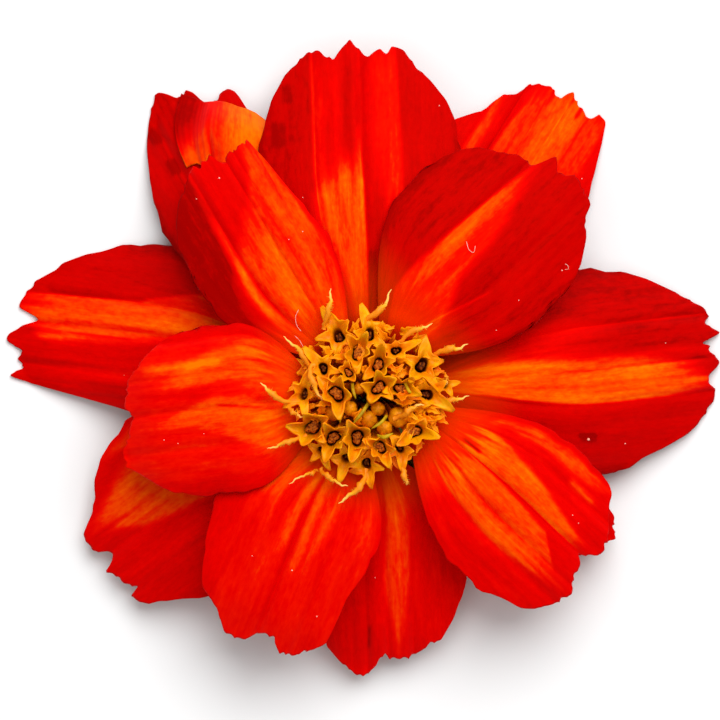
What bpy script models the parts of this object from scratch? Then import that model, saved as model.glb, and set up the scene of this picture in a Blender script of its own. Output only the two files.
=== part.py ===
"""Cosmos flower head, picked with a short stub of stalk, lying face up on its drooping petals.

Every petal, bract and disc floret is a closed body of its own. Lengths in the tables are in
millimetres and angles in degrees; bodies are built in metres, +Z up, about the flower's own
axis, and the finished assembly is then centred so that its box stands on the origin.
"""

import math
from dataclasses import dataclass

import bpy
import numpy as np

MM = 0.001

# Stalk stub and receptacle: lathe profile (radius, height), from the cut end to the crown.
STALK_PROFILE = (
    (1.0, 0.0), (0.95, 1.3), (1.35, 2.1), (2.6, 2.8), (4.5, 3.45), (4.95, 3.85), (4.75, 4.25),
    (2.4, 4.35),
)
STALK_SIDES = 16
STALK_RIB = 0.06
CROWN_HEIGHT = 4.4

# Petals: a narrow claw on the receptacle, then a thin blade that spreads and droops.
SHEET = 0.4
CLAW_HALF_WIDTH = 0.55
CLAW_HEIGHT = 4.7
INNER_CLAW_RADIUS = 3.75
OUTER_CLAW_RADIUS = 4.55
PETAL_ROWS = 9
ROW_CROWDING = 1.45
GROOVE_DEPTH = 0.12

# Height of each layer of blades against the distance from the flower's axis.
LOW_LAYER = (
    (4.55, 4.7), (5.0, 5.9), (6.0, 6.5), (8.0, 6.8), (12.0, 6.4), (16.0, 5.3), (20.0, 3.9),
    (25.0, 2.0), (30.5, 0.3),
)
MIDDLE_LAYER = (
    (4.55, 4.7), (5.0, 6.0), (6.0, 7.0), (8.0, 7.6), (12.0, 7.4), (16.0, 6.4), (20.0, 4.9),
    (25.0, 2.8), (30.5, 0.3),
)
UPPER_LAYER = (
    (3.75, 4.7), (4.5, 6.3), (5.6, 7.7), (8.0, 8.7), (12.0, 8.8), (16.0, 8.2), (20.0, 7.1),
    (25.0, 5.4), (30.5, 3.6),
)
TOP_LAYER = (
    (3.75, 4.7), (4.5, 7.4), (5.6, 9.2), (8.0, 10.1), (12.0, 10.3), (16.0, 9.8), (20.0, 8.8),
    (26.0, 6.8),
)
CREST_LAYER = ((3.75, 4.7), (4.5, 7.6), (5.6, 9.8), (8.0, 11.0), (12.0, 11.6), (16.0, 11.0), (21.0, 9.6))

# Bracts under the petals: eight broad membranous ones inside, eight narrow green ones outside.
BRACTS_PER_RING = 8
BRACT_SHEET = 0.32
INNER_BRACT_PATH = ((5.5, 3.85), (5.8, 4.6), (6.8, 5.2), (8.6, 5.35), (10.6, 5.0))
INNER_BRACT_HALF_WIDTHS = (1.15, 1.5, 1.7, 1.35, 0.25)
INNER_BRACT_TURN = 10.0
OUTER_BRACT_PATH = ((3.4, 2.6), (5.2, 2.75), (7.6, 2.9), (10.2, 2.6), (12.6, 1.9))
OUTER_BRACT_HALF_WIDTHS = (0.5, 0.65, 0.6, 0.45, 0.15)
OUTER_BRACT_TURN = 32.5

# Disc florets: slender tubes fanning from the crown to five-pointed mouths on a low dome.
FLORET_SIDES = 10
FLORET_BASE_HEIGHT = 4.7
FLORET_SPREAD_HEIGHT = 11.8
FLORET_BASE_SPREAD = 0.46
FLORET_LEAN = 1.35
FLORET_BASE_RADIUS = 0.24
FLORET_WAIST_RADIUS = 0.42
FLORET_MOUTH_RADIUS = 0.9
FLORET_GAP = 0.3
FLORET_HOLLOW = 0.7
LOBE_INSET = 0.72
DOME_CROWN = 13.4
DOME_FALL = 0.052
BUD_DROP = 0.5

# Place of each floret's mouth on the dome: (azimuth, distance from the axis, is it still a bud).
FLORET_PLACES = (
    (118, 5.7, False), (91, 5.1, False), (60, 4.3, False), (30, 5.1, False), (1, 4.8, False),
    (-39, 4.9, False), (-60, 5.3, False), (-80, 4.1, False), (-93, 6.0, False), (-112, 5.7, False),
    (-133, 4.6, False), (-152, 5.6, False), (179, 5.6, False), (150, 4.7, False), (-131, 6.2, False),
    (106, 3.5, False), (75, 2.6, False), (20, 2.8, False), (172, 3.0, False), (-109, 3.1, False),
    (134, 2.9, True), (-62, 2.6, True), (-33, 3.1, True), (-159, 3.6, True), (-150, 1.7, True),
    (-98, 1.6, True), (47, 1.1, True), (137, 1.2, True), (-35, 1.4, True), (8, 6.5, False),
)


@dataclass(frozen=True)
class Petal:
    """One ray petal, laid out from its claw to its tip.

    Attributes:
        name: Name of the node.
        claw: Azimuth of the claw on the receptacle.
        tip: Azimuth of the tip, seen from the flower's axis.
        reach: Distance of the tip from the axis.
        left: Greatest width on the anticlockwise side of the midrib.
        right: Greatest width on the clockwise side of the midrib.
        broad: Share of the length at which the blade is full width.
        layer: Heights of the blade against the distance from the axis.
        droop: How far the side edges hang below the midrib.
        teeth: Pairs of (share of the half width, shortfall of the edge) from right to left.
    """

    name: str
    claw: float
    tip: float
    reach: float
    left: float
    right: float
    broad: float
    layer: tuple
    droop: float
    teeth: tuple


PETALS = (
    Petal("petal_01_top", 99, 92.4, 30.1, 8.3, 8.6, 0.62, UPPER_LAYER, 0.4,
          ((-1, 8.5), (-0.72, 3.6), (-0.4, 0.6), (-0.15, 1.5), (0.05, 0), (0.23, 1.6), (0.4, 0.8),
           (0.75, 3.1), (1, 8.5))),
    Petal("petal_02_upper_right", 70, 47.3, 25.3, 9.0, 6.9, 0.5, TOP_LAYER, 0.5,
          ((-1, 10.5), (-0.88, 5), (-0.52, 2), (-0.2, 0.2), (0, 0), (0.24, 0.1), (0.32, 1.7),
           (0.6, 3), (0.82, 4.5), (1, 8.5))),
    Petal("petal_03_upper_left", 127, 121.8, 23.8, 7.3, 4.2, 0.5, TOP_LAYER, 0.5,
          ((-1, 9.5), (-0.8, 4.5), (-0.6, 0.2), (-0.2, 0.3), (0.1, 0.5), (0.35, -0.4), (0.7, 1.6),
           (0.9, 3.8), (1, 7))),
    Petal("petal_04_left", 181, -174.6, 20.6, 7.1, 6.9, 0.42, CREST_LAYER, 0.7,
          ((-1, 6.5), (-0.86, 3.5), (-0.6, 1.4), (-0.3, 0.2), (0.1, 0.1), (0.45, -0.6), (0.7, 1),
           (0.9, 2.9), (1, 5.5))),
    Petal("petal_05_lower_left", -111, -111.6, 22.5, 5.3, 8.9, 0.45, TOP_LAYER, 0.5,
          ((-1, 8), (-0.88, 4), (-0.7, 1.8), (-0.4, -0.6), (-0.15, 0.5), (0.1, -0.4), (0.5, 0.4),
           (0.78, 2), (0.9, 6), (1, 10))),
    Petal("petal_06_lower_right", -19, -39.6, 23.6, 7.0, 7.3, 0.6, TOP_LAYER, 0.5,
          ((-1, 6.5), (-0.9, 3.9), (-0.7, 1.2), (-0.4, -0.1), (0.08, 1.4), (0.3, 0.3), (0.5, 0.8),
           (0.8, 2.7), (1, 5.2))),
    Petal("petal_07_right", 14, 7.4, 29.4, 7.6, 9.7, 0.58, MIDDLE_LAYER, 0.4,
          ((-1, 10), (-0.88, 7), (-0.66, 2.5), (-0.35, 0.7), (-0.13, 0), (0.06, 0.9), (0.16, -0.3),
           (0.4, 0.5), (0.7, 3.6), (1, 9.5))),
    Petal("petal_08_upper_right", 61, 58.2, 30.5, 6.8, 7.2, 0.7, LOW_LAYER, 0.4,
          ((-1, 7.5), (-0.8, 2.3), (-0.6, 0), (-0.42, 0.7), (-0.18, -0.4), (-0.06, 0.8), (0.15, 0.2),
           (0.38, 1.5), (0.6, 4), (1, 9))),
    Petal("petal_09_upper_left", 119, 118.8, 29.8, 8.5, 7.0, 0.6, MIDDLE_LAYER, 0.4,
          ((-1, 10), (-0.75, 5.2), (-0.45, 1.8), (-0.1, 1.1), (0.12, -0.4), (0.42, -1.3), (0.62, 0.8),
           (0.85, 3.8), (1, 9.5))),
    Petal("petal_10_left", 164, 171.8, 30.9, 5.0, 9.6, 0.52, LOW_LAYER, 0.4,
          ((-1, 11), (-0.88, 6.4), (-0.68, 3.4), (-0.38, 0.6), (-0.24, 2.3), (-0.06, -0.1),
           (0.25, 1.4), (0.55, 0.5), (0.7, 5.5), (1, 13))),
    Petal("petal_11_lower_left", -152, -144.8, 26.6, 7.0, 9.6, 0.5, MIDDLE_LAYER, 0.4,
          ((-1, 9), (-0.88, 5.4), (-0.6, 2.6), (-0.35, 0), (-0.17, 1.3), (-0.06, -0.2), (0.25, 1),
           (0.48, 0.8), (0.75, 4.2), (1, 8))),
    Petal("petal_12_bottom", -85, -86.8, 22.4, 7.2, 5.6, 0.55, LOW_LAYER, 0.4,
          ((-1, 5), (-0.85, 1.5), (-0.62, -0.2), (-0.3, -1), (0.05, 0.6), (0.3, 0.2), (0.6, 1.6),
           (0.85, 4.2), (1, 8.5))),
    Petal("petal_13_lower_right_behind", -44, -35.0, 24.2, 5.5, 4.2, 0.6, LOW_LAYER, 0.3,
          ((-1, 7), (-0.6, 1.5), (-0.2, 0.2), (0, 0.7), (0.25, 0), (0.6, 1.2), (1, 6))),
)


def clear_scene():
    """Remove every object the scene starts with."""
    for item in list(bpy.data.objects):
        bpy.data.objects.remove(item)


def principled(name, colour, roughness):
    """Return a Principled material.

    Args:
        name: Name of the material.
        colour: Linear base colour.
        roughness: Surface roughness.

    Returns:
        The new material.
    """
    material = bpy.data.materials.new(name)
    material.use_nodes = True
    shader = material.node_tree.nodes["Principled BSDF"]
    shader.inputs["Base Color"].default_value = (*colour, 1.0)
    shader.inputs["Roughness"].default_value = roughness
    shader.inputs["Metallic"].default_value = 0.0
    return material


def body(name, points, faces, material):
    """Add one closed body.

    Args:
        name: Name of the node.
        points: Corner points in millimetres.
        faces: Corner indices of each face, turned outward.
        material: Material of the body.
    """
    mesh = bpy.data.meshes.new(name)
    mesh.from_pydata([tuple(float(value) * MM for value in point) for point in points], [], faces)
    mesh.materials.append(material)
    bpy.context.scene.collection.objects.link(bpy.data.objects.new(name, mesh))


def heading(degrees):
    """Return the unit vector that points along an azimuth, as (x, y)."""
    return np.array((math.cos(math.radians(degrees)), math.sin(math.radians(degrees))))


def smooth_curve(at, knots):
    """Interpolate a table with a smooth cubic curve.

    Args:
        at: Positions to evaluate.
        knots: Pairs of (position, value), positions rising.

    Returns:
        The value at each position, held constant outside the table.
    """
    xs = np.array([knot[0] for knot in knots], float)
    ys = np.array([knot[1] for knot in knots], float)
    slopes = np.gradient(ys, xs)
    at = np.clip(at, xs[0], xs[-1])
    cell = np.clip(np.searchsorted(xs, at, side="right") - 1, 0, len(xs) - 2)
    width = xs[cell + 1] - xs[cell]
    t = (at - xs[cell]) / width
    rise = (2 * t**3 - 3 * t**2 + 1) * ys[cell] + (3 * t**2 - 2 * t**3) * ys[cell + 1]
    bend = (t**3 - 2 * t**2 + t) * slopes[cell] + (t**3 - t**2) * slopes[cell + 1]
    return rise + bend * width


def lathe(rings, sides):
    """Return faces joining a stack of rings, for points stored ring by ring from bottom to top.

    Args:
        rings: Number of rings.
        sides: Points in each ring, anticlockwise seen from above.

    Returns:
        The side faces, turned outward.
    """
    faces = []
    for ring in range(rings - 1):
        for side in range(sides):
            low = ring * sides + side
            low_next = ring * sides + (side + 1) % sides
            faces.append((low, low_next, low_next + sides, low + sides))
    return faces


def stalk_and_receptacle(material):
    """Add the ribbed stalk stub with the receptacle that it flares into."""
    points = []
    for radius, height in STALK_PROFILE:
        for side in range(STALK_SIDES):
            ribbed = radius * (1 + STALK_RIB * (-1) ** side)
            points.append((*(heading(360 * side / STALK_SIDES) * ribbed), height))
    rings = len(STALK_PROFILE)
    faces = lathe(rings, STALK_SIDES)
    faces.append(tuple(reversed(range(STALK_SIDES))))
    crown = len(points)
    points.append((0.0, 0.0, CROWN_HEIGHT))
    last = (rings - 1) * STALK_SIDES
    for side in range(STALK_SIDES):
        faces.append((last + side, last + (side + 1) % STALK_SIDES, crown))
    body("stalk_with_receptacle", points, faces, material)


def thick_sheet(middle, thickness):
    """Thicken a grid of points into a closed slab.

    Args:
        middle: Array of points (rows, columns, 3), columns running to the left of the rows.
        thickness: Thickness across the sheet.

    Returns:
        Points and outward faces of the slab.
    """
    along = np.gradient(middle, axis=0)
    across = np.gradient(middle, axis=1)
    normal = np.cross(along, across)
    normal /= np.linalg.norm(normal, axis=2, keepdims=True)
    points = np.concatenate((middle + normal * thickness / 2, middle - normal * thickness / 2)).reshape(-1, 3)
    rows, columns = middle.shape[:2]
    under = rows * columns
    faces = []
    for row in range(rows - 1):
        for column in range(columns - 1):
            a = row * columns + column
            b = a + columns
            faces.append((a, b, b + 1, a + 1))
            faces.append((under + a, under + a + 1, under + b + 1, under + b))
    rim = [column for column in range(columns)]
    rim += [row * columns + columns - 1 for row in range(1, rows)]
    rim += [(rows - 1) * columns + column for column in range(columns - 2, -1, -1)]
    rim += [row * columns for row in range(rows - 2, 0, -1)]
    for here, there in zip(rim, rim[1:] + rim[:1]):
        faces.append((here, there, under + there, under + here))
    return points, faces


def petal_surface(petal):
    """Return the middle surface of a petal as a grid of points."""
    inner = petal.layer[0][0] == INNER_CLAW_RADIUS
    claw_radius = INNER_CLAW_RADIUS if inner else OUTER_CLAW_RADIUS
    claw = heading(petal.claw) * claw_radius
    midrib = heading(petal.tip) * petal.reach - claw
    length = float(np.linalg.norm(midrib))
    forward = midrib / length
    leftward = np.array((-forward[1], forward[0]))
    rows = []
    for row in range(PETAL_ROWS + 1):
        share = (row / PETAL_ROWS) ** ROW_CROWDING
        line = []
        for side, shortfall in petal.teeth:
            run = share * (length - shortfall)
            fan = math.sin(math.pi / 2 * min(1.0, run / length / petal.broad))
            half = petal.left if side > 0 else petal.right
            offset = side * (CLAW_HALF_WIDTH + (half - CLAW_HALF_WIDTH) * fan)
            spot = claw + forward * run + leftward * offset
            height = float(smooth_curve(np.hypot(*spot), petal.layer))
            height -= petal.droop * side * side * fan
            height -= GROOVE_DEPTH * fan * (1 - math.cos(4 * math.pi * side)) / 2
            if row == 0:
                height = CLAW_HEIGHT
            line.append((*spot, height))
        rows.append(line)
    return np.array(rows)


def bract(name, azimuth, path, half_widths, material):
    """Add one bract along a radial path.

    Args:
        name: Name of the node.
        azimuth: Direction in which the bract points.
        path: Pairs of (distance from the axis, height) along its midrib.
        half_widths: Half width at each point of the path.
        material: Material of the bract.
    """
    forward = heading(azimuth)
    leftward = np.array((-forward[1], forward[0]))
    rows = []
    for (radius, height), half in zip(path, half_widths):
        line = []
        for side in (-1.0, 0.0, 1.0):
            spot = forward * radius + leftward * side * half
            line.append((*spot, height + 0.12 * abs(side)))
        rows.append(line)
    points, faces = thick_sheet(np.array(rows), BRACT_SHEET)
    body(name, points, faces, material)


def mouth_radius(place, places):
    """Return the widest mouth that keeps a floret clear of its neighbours."""
    here = heading(place[0]) * place[1]
    spacings = [np.linalg.norm(here - heading(other[0]) * other[1]) for other in places if other is not place]
    return min(FLORET_MOUTH_RADIUS, (float(min(spacings)) - FLORET_GAP) / 2)


def disc_floret(name, place, mouth, material):
    """Add one disc floret.

    Args:
        name: Name of the node.
        place: Its (azimuth, distance from the axis, is it a bud).
        mouth: Radius of its mouth.
        material: Material of the floret.
    """
    azimuth, distance, bud = place
    top = DOME_CROWN - DOME_FALL * distance * distance - (BUD_DROP if bud else 0.0)
    tube = top - FLORET_BASE_HEIGHT
    levels = ((0.0, FLORET_BASE_RADIUS, 1.0), (0.6, FLORET_WAIST_RADIUS, 1.0), (0.88, mouth * 0.72, 0.95))
    levels += ((0.95, mouth * 0.6, 1.0),) if bud else ((1.0, mouth, LOBE_INSET),)
    points = []
    for share, radius, inset in levels:
        height = FLORET_BASE_HEIGHT + tube * share
        rise = (height - FLORET_BASE_HEIGHT) / (FLORET_SPREAD_HEIGHT - FLORET_BASE_HEIGHT)
        climb = min(1.0, rise) ** FLORET_LEAN
        centre = heading(azimuth) * distance * (FLORET_BASE_SPREAD + (1 - FLORET_BASE_SPREAD) * climb)
        for side in range(FLORET_SIDES):
            reach = min(radius, mouth) * (inset if side % 2 else 1.0)
            points.append((*(centre + heading(azimuth + 360 * side / FLORET_SIDES) * reach), height))
    faces = lathe(len(levels), FLORET_SIDES)
    faces.append(tuple(reversed(range(FLORET_SIDES))))
    apex = len(points)
    points.append((*centre, top if bud else top - FLORET_HOLLOW))
    last = (len(levels) - 1) * FLORET_SIDES
    for side in range(FLORET_SIDES):
        faces.append((last + side, last + (side + 1) % FLORET_SIDES, apex))
    body(name, points, faces, material)


def stand_on_origin():
    """Move every body so that the box round them all stands centred on the origin."""
    bodies = [item for item in bpy.data.objects if item.type == "MESH"]
    corners = np.array([vertex.co[:] for item in bodies for vertex in item.data.vertices])
    low, high = corners.min(axis=0), corners.max(axis=0)
    shift = (-(low[0] + high[0]) / 2, -(low[1] + high[1]) / 2, -low[2])
    for item in bodies:
        for vertex in item.data.vertices:
            vertex.co = [value + step for value, step in zip(vertex.co, shift)]


def build():
    """Build the whole flower."""
    clear_scene()
    petal_skin = principled("petal", (0.72, 0.03, 0.004), 0.55)
    disc_skin = principled("disc", (0.80, 0.26, 0.01), 0.6)
    stalk_skin = principled("stalk", (0.16, 0.26, 0.05), 0.6)
    green_skin = principled("bract_green", (0.13, 0.25, 0.05), 0.6)
    membrane_skin = principled("bract_membrane", (0.42, 0.36, 0.10), 0.6)
    stalk_and_receptacle(stalk_skin)
    for petal in PETALS:
        points, faces = thick_sheet(petal_surface(petal), SHEET)
        body(petal.name, points, faces, petal_skin)
    for index in range(BRACTS_PER_RING):
        turn = 360 * index / BRACTS_PER_RING
        inner_name, outer_name = f"inner_bract_{index + 1}", f"outer_bract_{index + 1}"
        bract(inner_name, INNER_BRACT_TURN + turn, INNER_BRACT_PATH, INNER_BRACT_HALF_WIDTHS, membrane_skin)
        bract(outer_name, OUTER_BRACT_TURN + turn, OUTER_BRACT_PATH, OUTER_BRACT_HALF_WIDTHS, green_skin)
    for index, place in enumerate(FLORET_PLACES):
        disc_floret(f"disc_floret_{index + 1:02d}", place, mouth_radius(place, FLORET_PLACES), disc_skin)
    stand_on_origin()


build()
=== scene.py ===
"""Cosmos flower head, picked with a short stub of stalk and lying face up.

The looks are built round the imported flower: each petal, bract and disc floret here stands for
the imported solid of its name. Sizes are in millimetres and angles in degrees unless a name says
otherwise, and everything is laid out about the flower's own axis.
"""

import logging
import math
from dataclasses import dataclass, field
from enum import Enum
from typing import Sequence

import bpy
import numpy as np
from mathutils import Euler, Matrix, Vector


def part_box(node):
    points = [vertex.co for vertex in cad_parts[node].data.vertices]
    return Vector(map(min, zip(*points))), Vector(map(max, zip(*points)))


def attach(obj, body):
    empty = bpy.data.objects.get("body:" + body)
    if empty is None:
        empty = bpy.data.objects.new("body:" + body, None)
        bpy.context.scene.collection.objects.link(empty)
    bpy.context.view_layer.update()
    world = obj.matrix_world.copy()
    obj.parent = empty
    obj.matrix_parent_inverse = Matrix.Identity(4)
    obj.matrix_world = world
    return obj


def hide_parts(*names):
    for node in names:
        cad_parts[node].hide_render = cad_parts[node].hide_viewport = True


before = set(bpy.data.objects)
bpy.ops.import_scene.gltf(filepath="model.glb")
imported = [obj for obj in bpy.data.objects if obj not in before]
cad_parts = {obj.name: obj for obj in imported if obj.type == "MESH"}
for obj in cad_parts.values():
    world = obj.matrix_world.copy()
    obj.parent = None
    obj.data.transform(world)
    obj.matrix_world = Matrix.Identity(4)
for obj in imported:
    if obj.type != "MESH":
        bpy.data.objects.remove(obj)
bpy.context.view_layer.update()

MM = 0.001
BODY = "root"
STALK_NODE = "stalk_with_receptacle"

LOG = logging.getLogger("cosmos")

Points = np.ndarray
Curve = Sequence[tuple[float, float]]


def flower_axis() -> np.ndarray:
    """Return where the flower's axis meets the ground, in millimetres."""
    low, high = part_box(STALK_NODE)
    return np.array(((low[0] + high[0]) / 2, (low[1] + high[1]) / 2, 0.0)) / MM


AXIS = flower_axis()


# --------------------------------------------------------------------------- small tools


def linear(code: str) -> tuple[float, float, float, float]:
    """Turn an sRGB hex colour to linear.

    Args:
        code: Colour as "#rrggbb".

    Returns:
        Linear red, green, blue and an alpha of 1.
    """
    channels = [int(code[place:place + 2], 16) / 255 for place in (1, 3, 5)]
    bent = [value / 12.92 if value <= 0.04045 else ((value + 0.055) / 1.055) ** 2.4 for value in channels]
    return (*bent, 1.0)


def heading(degrees: float) -> np.ndarray:
    """Return the flat unit vector that points along an azimuth."""
    return np.array((math.cos(math.radians(degrees)), math.sin(math.radians(degrees))))


def smooth_step(values: Points, start: float, end: float) -> Points:
    """Return 0 before start, 1 after end, and a smooth ramp between them."""
    share = np.clip((values - start) / (end - start), 0.0, 1.0)
    return share * share * (3 - 2 * share)


def smooth_curve(at: Points, knots: Curve) -> Points:
    """Interpolate a table with a smooth cubic.

    Args:
        at: Positions to evaluate.
        knots: Pairs of (position, value), positions rising.

    Returns:
        The value at each position, held constant outside the table.
    """
    places = np.array([knot[0] for knot in knots], float)
    values = np.array([knot[1] for knot in knots], float)
    slopes = np.gradient(values, places)
    at = np.clip(at, places[0], places[-1])
    cell = np.clip(np.searchsorted(places, at, side="right") - 1, 0, len(places) - 2)
    width = places[cell + 1] - places[cell]
    share = (at - places[cell]) / width
    rise = (2 * share**3 - 3 * share**2 + 1) * values[cell] + (3 * share**2 - 2 * share**3) * values[cell + 1]
    bend = (share**3 - 2 * share**2 + share) * slopes[cell] + (share**3 - share**2) * slopes[cell + 1]
    return rise + bend * width


def along_path(path: Sequence[Sequence[float]], shares: Points) -> Points:
    """Return the points at shares of the smooth line through a path's own points."""
    knots = np.linspace(0, 1, len(path))
    return np.column_stack([smooth_curve(shares, list(zip(knots, values))) for values in zip(*path)])


def left_of(line: Points) -> Points:
    """Return the flat unit vectors that point to the left of a line.

    Args:
        line: Rows of x, y along the line.

    Returns:
        One vector for each point of the line.
    """
    ahead = np.gradient(line, axis=0)
    ahead /= np.linalg.norm(ahead, axis=1, keepdims=True)
    return np.column_stack((-ahead[:, 1], ahead[:, 0]))


# --------------------------------------------------------------------------- modelling tools


def deselect() -> None:
    """Deselect every object."""
    bpy.ops.object.select_all(action="DESELECT")


def take(piece: bpy.types.Object) -> None:
    """Make a piece the only selected and the active object.

    Args:
        piece: Object to take in hand.
    """
    deselect()
    piece.select_set(True)
    bpy.context.view_layer.objects.active = piece


def grid_primitive(name: str, columns: int, rows: int) -> bpy.types.Object:
    """Add a flat grid two units wide, to be shaped into a sheet.

    Args:
        name: Name of the piece.
        columns: Faces from left to right.
        rows: Faces from base to tip.

    Returns:
        The new object.
    """
    deselect()
    bpy.ops.mesh.primitive_grid_add(x_subdivisions=columns, y_subdivisions=rows, size=2.0)
    piece = bpy.context.active_object
    piece.name = piece.data.name = name
    return piece


def points_of(mesh: bpy.types.Mesh) -> Points:
    """Read a mesh's points.

    Args:
        mesh: Mesh to read.

    Returns:
        Rows of x, y, z.
    """
    flat = np.empty(len(mesh.vertices) * 3)
    mesh.vertices.foreach_get("co", flat)
    return flat.reshape(-1, 3)


def set_points(mesh: bpy.types.Mesh, points: Points) -> None:
    """Put a mesh's points where an array of rows of x, y, z says."""
    mesh.vertices.foreach_set("co", points.ravel())
    mesh.update()


def set_values(mesh: bpy.types.Mesh, name: str, values: Points) -> None:
    """Store one number per point of a mesh.

    Args:
        mesh: Mesh to write to.
        name: Name of the attribute.
        values: One number for each point.
    """
    layer = mesh.attributes.get(name) or mesh.attributes.new(name, "FLOAT", "POINT")
    layer.data.foreach_set("value", np.asarray(values, dtype=np.float32))


def set_sheet_map(mesh: bpy.types.Mesh, across: Points, along: Points) -> None:
    """Write a sheet's own map, in millimetres across and along it.

    Args:
        mesh: Mesh to write to.
        across: Distance across the sheet at each point.
        along: Distance along the sheet at each point.
    """
    corners = np.empty(len(mesh.loops), dtype=np.int32)
    mesh.loops.foreach_get("vertex_index", corners)
    flat = np.stack((across[corners], along[corners]), axis=1).astype(np.float32)
    mesh.uv_layers.active.data.foreach_set("uv", flat.ravel())


def finish_with(piece: bpy.types.Object, kind: str, **settings: object) -> None:
    """Add one modifier with its settings and apply it.

    Args:
        piece: Object to change.
        kind: Type of the modifier.
        **settings: Values of the modifier's properties.
    """
    take(piece)
    modifier = piece.modifiers.new(kind.lower(), kind)
    for key, value in settings.items():
        setattr(modifier, key, value)
    bpy.ops.object.modifier_apply(modifier=modifier.name)


def thicken(piece: bpy.types.Object, thickness: float, **settings: object) -> None:
    """Give a sheet its thickness, half of it on each side unless a setting says otherwise.

    Args:
        piece: Sheet to thicken.
        thickness: Thickness, in the units that the sheet is drawn in.
        **settings: More of the modifier's properties.
    """
    centred = {"thickness": thickness, "offset": 0.0, "use_even_offset": False}
    finish_with(piece, "SOLIDIFY", **centred | settings)


def smooth_shading(piece: bpy.types.Object) -> None:
    """Shade a piece smoothly."""
    take(piece)
    bpy.ops.object.shade_smooth()


def join(pieces: Sequence[bpy.types.Object], name: str) -> bpy.types.Object:
    """Join pieces into the first of them.

    Args:
        pieces: Objects to join.
        name: Name of the result.

    Returns:
        The joined object.
    """
    deselect()
    for piece in pieces:
        piece.select_set(True)
    bpy.context.view_layer.objects.active = pieces[0]
    bpy.ops.object.join()
    pieces[0].name = pieces[0].data.name = name
    return pieces[0]


def declare(piece: bpy.types.Object, slot: str, *nodes: str) -> None:
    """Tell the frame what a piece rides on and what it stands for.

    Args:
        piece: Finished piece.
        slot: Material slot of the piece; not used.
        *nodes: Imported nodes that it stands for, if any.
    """
    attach(piece, BODY)
    if nodes:
        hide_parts(*nodes)
    faces = len(piece.data.polygons)
    LOG.info("%s: %d faces, stands for %s", piece.name, faces, ", ".join(nodes) or "nothing")


# --------------------------------------------------------------------------- finishes

# Numbers of a Mix node's colour sockets: the two colours that go in and the one that comes out.
MIX_FIRST = 6
MIX_SECOND = 7
MIX_RESULT = 2


def add_node(
    tree: bpy.types.NodeTree,
    kind: str,
    settings: dict[str, object] | None = None,
    links: dict[object, object] | None = None,
) -> bpy.types.Node:
    """Add one shader node with its settings and its incoming links.

    Args:
        tree: Node tree to add to.
        kind: Type of the node, without "ShaderNode".
        settings: Property values by name, socket values by "in:" and the socket's name or number,
            and a colour ramp's "stops" as pairs of (place, hex colour).
        links: Output sockets by the name or number of the input they feed.

    Returns:
        The new node.
    """
    node = tree.nodes.new("ShaderNode" + kind)
    for key, value in (settings or {}).items():
        if key == "stops":
            elements = node.color_ramp.elements
            while len(elements) < len(value):
                elements.new(0.5)
            for element, (place, code) in zip(elements, value):
                element.position = place
                element.color = linear(code)
        elif key.startswith("in:"):
            socket = key[3:]
            node.inputs[int(socket) if socket.isdigit() else socket].default_value = value
        else:
            setattr(node, key, value)
    for socket, source in (links or {}).items():
        tree.links.new(source, node.inputs[socket])
    return node


def new_material(name: str) -> tuple[bpy.types.Material, bpy.types.NodeTree, bpy.types.Node]:
    """Start a material.

    Args:
        name: Name of the material.

    Returns:
        The material, its tree and its Principled shader.
    """
    material = bpy.data.materials.new(name)
    material.use_nodes = True
    tree = material.node_tree
    return material, tree, tree.nodes["Principled BSDF"]


@dataclass(frozen=True)
class Grain:
    """Noise in the dye, drawn out along the petal.

    Attributes:
        per_mm: Spots per millimetre across the petal.
        stretch: Spots per millimetre along the petal, as a share of that.
        detail: Layers of finer noise on it.
        weight: How much it moves the dye.
    """

    per_mm: float
    stretch: float
    detail: float
    weight: float


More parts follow.
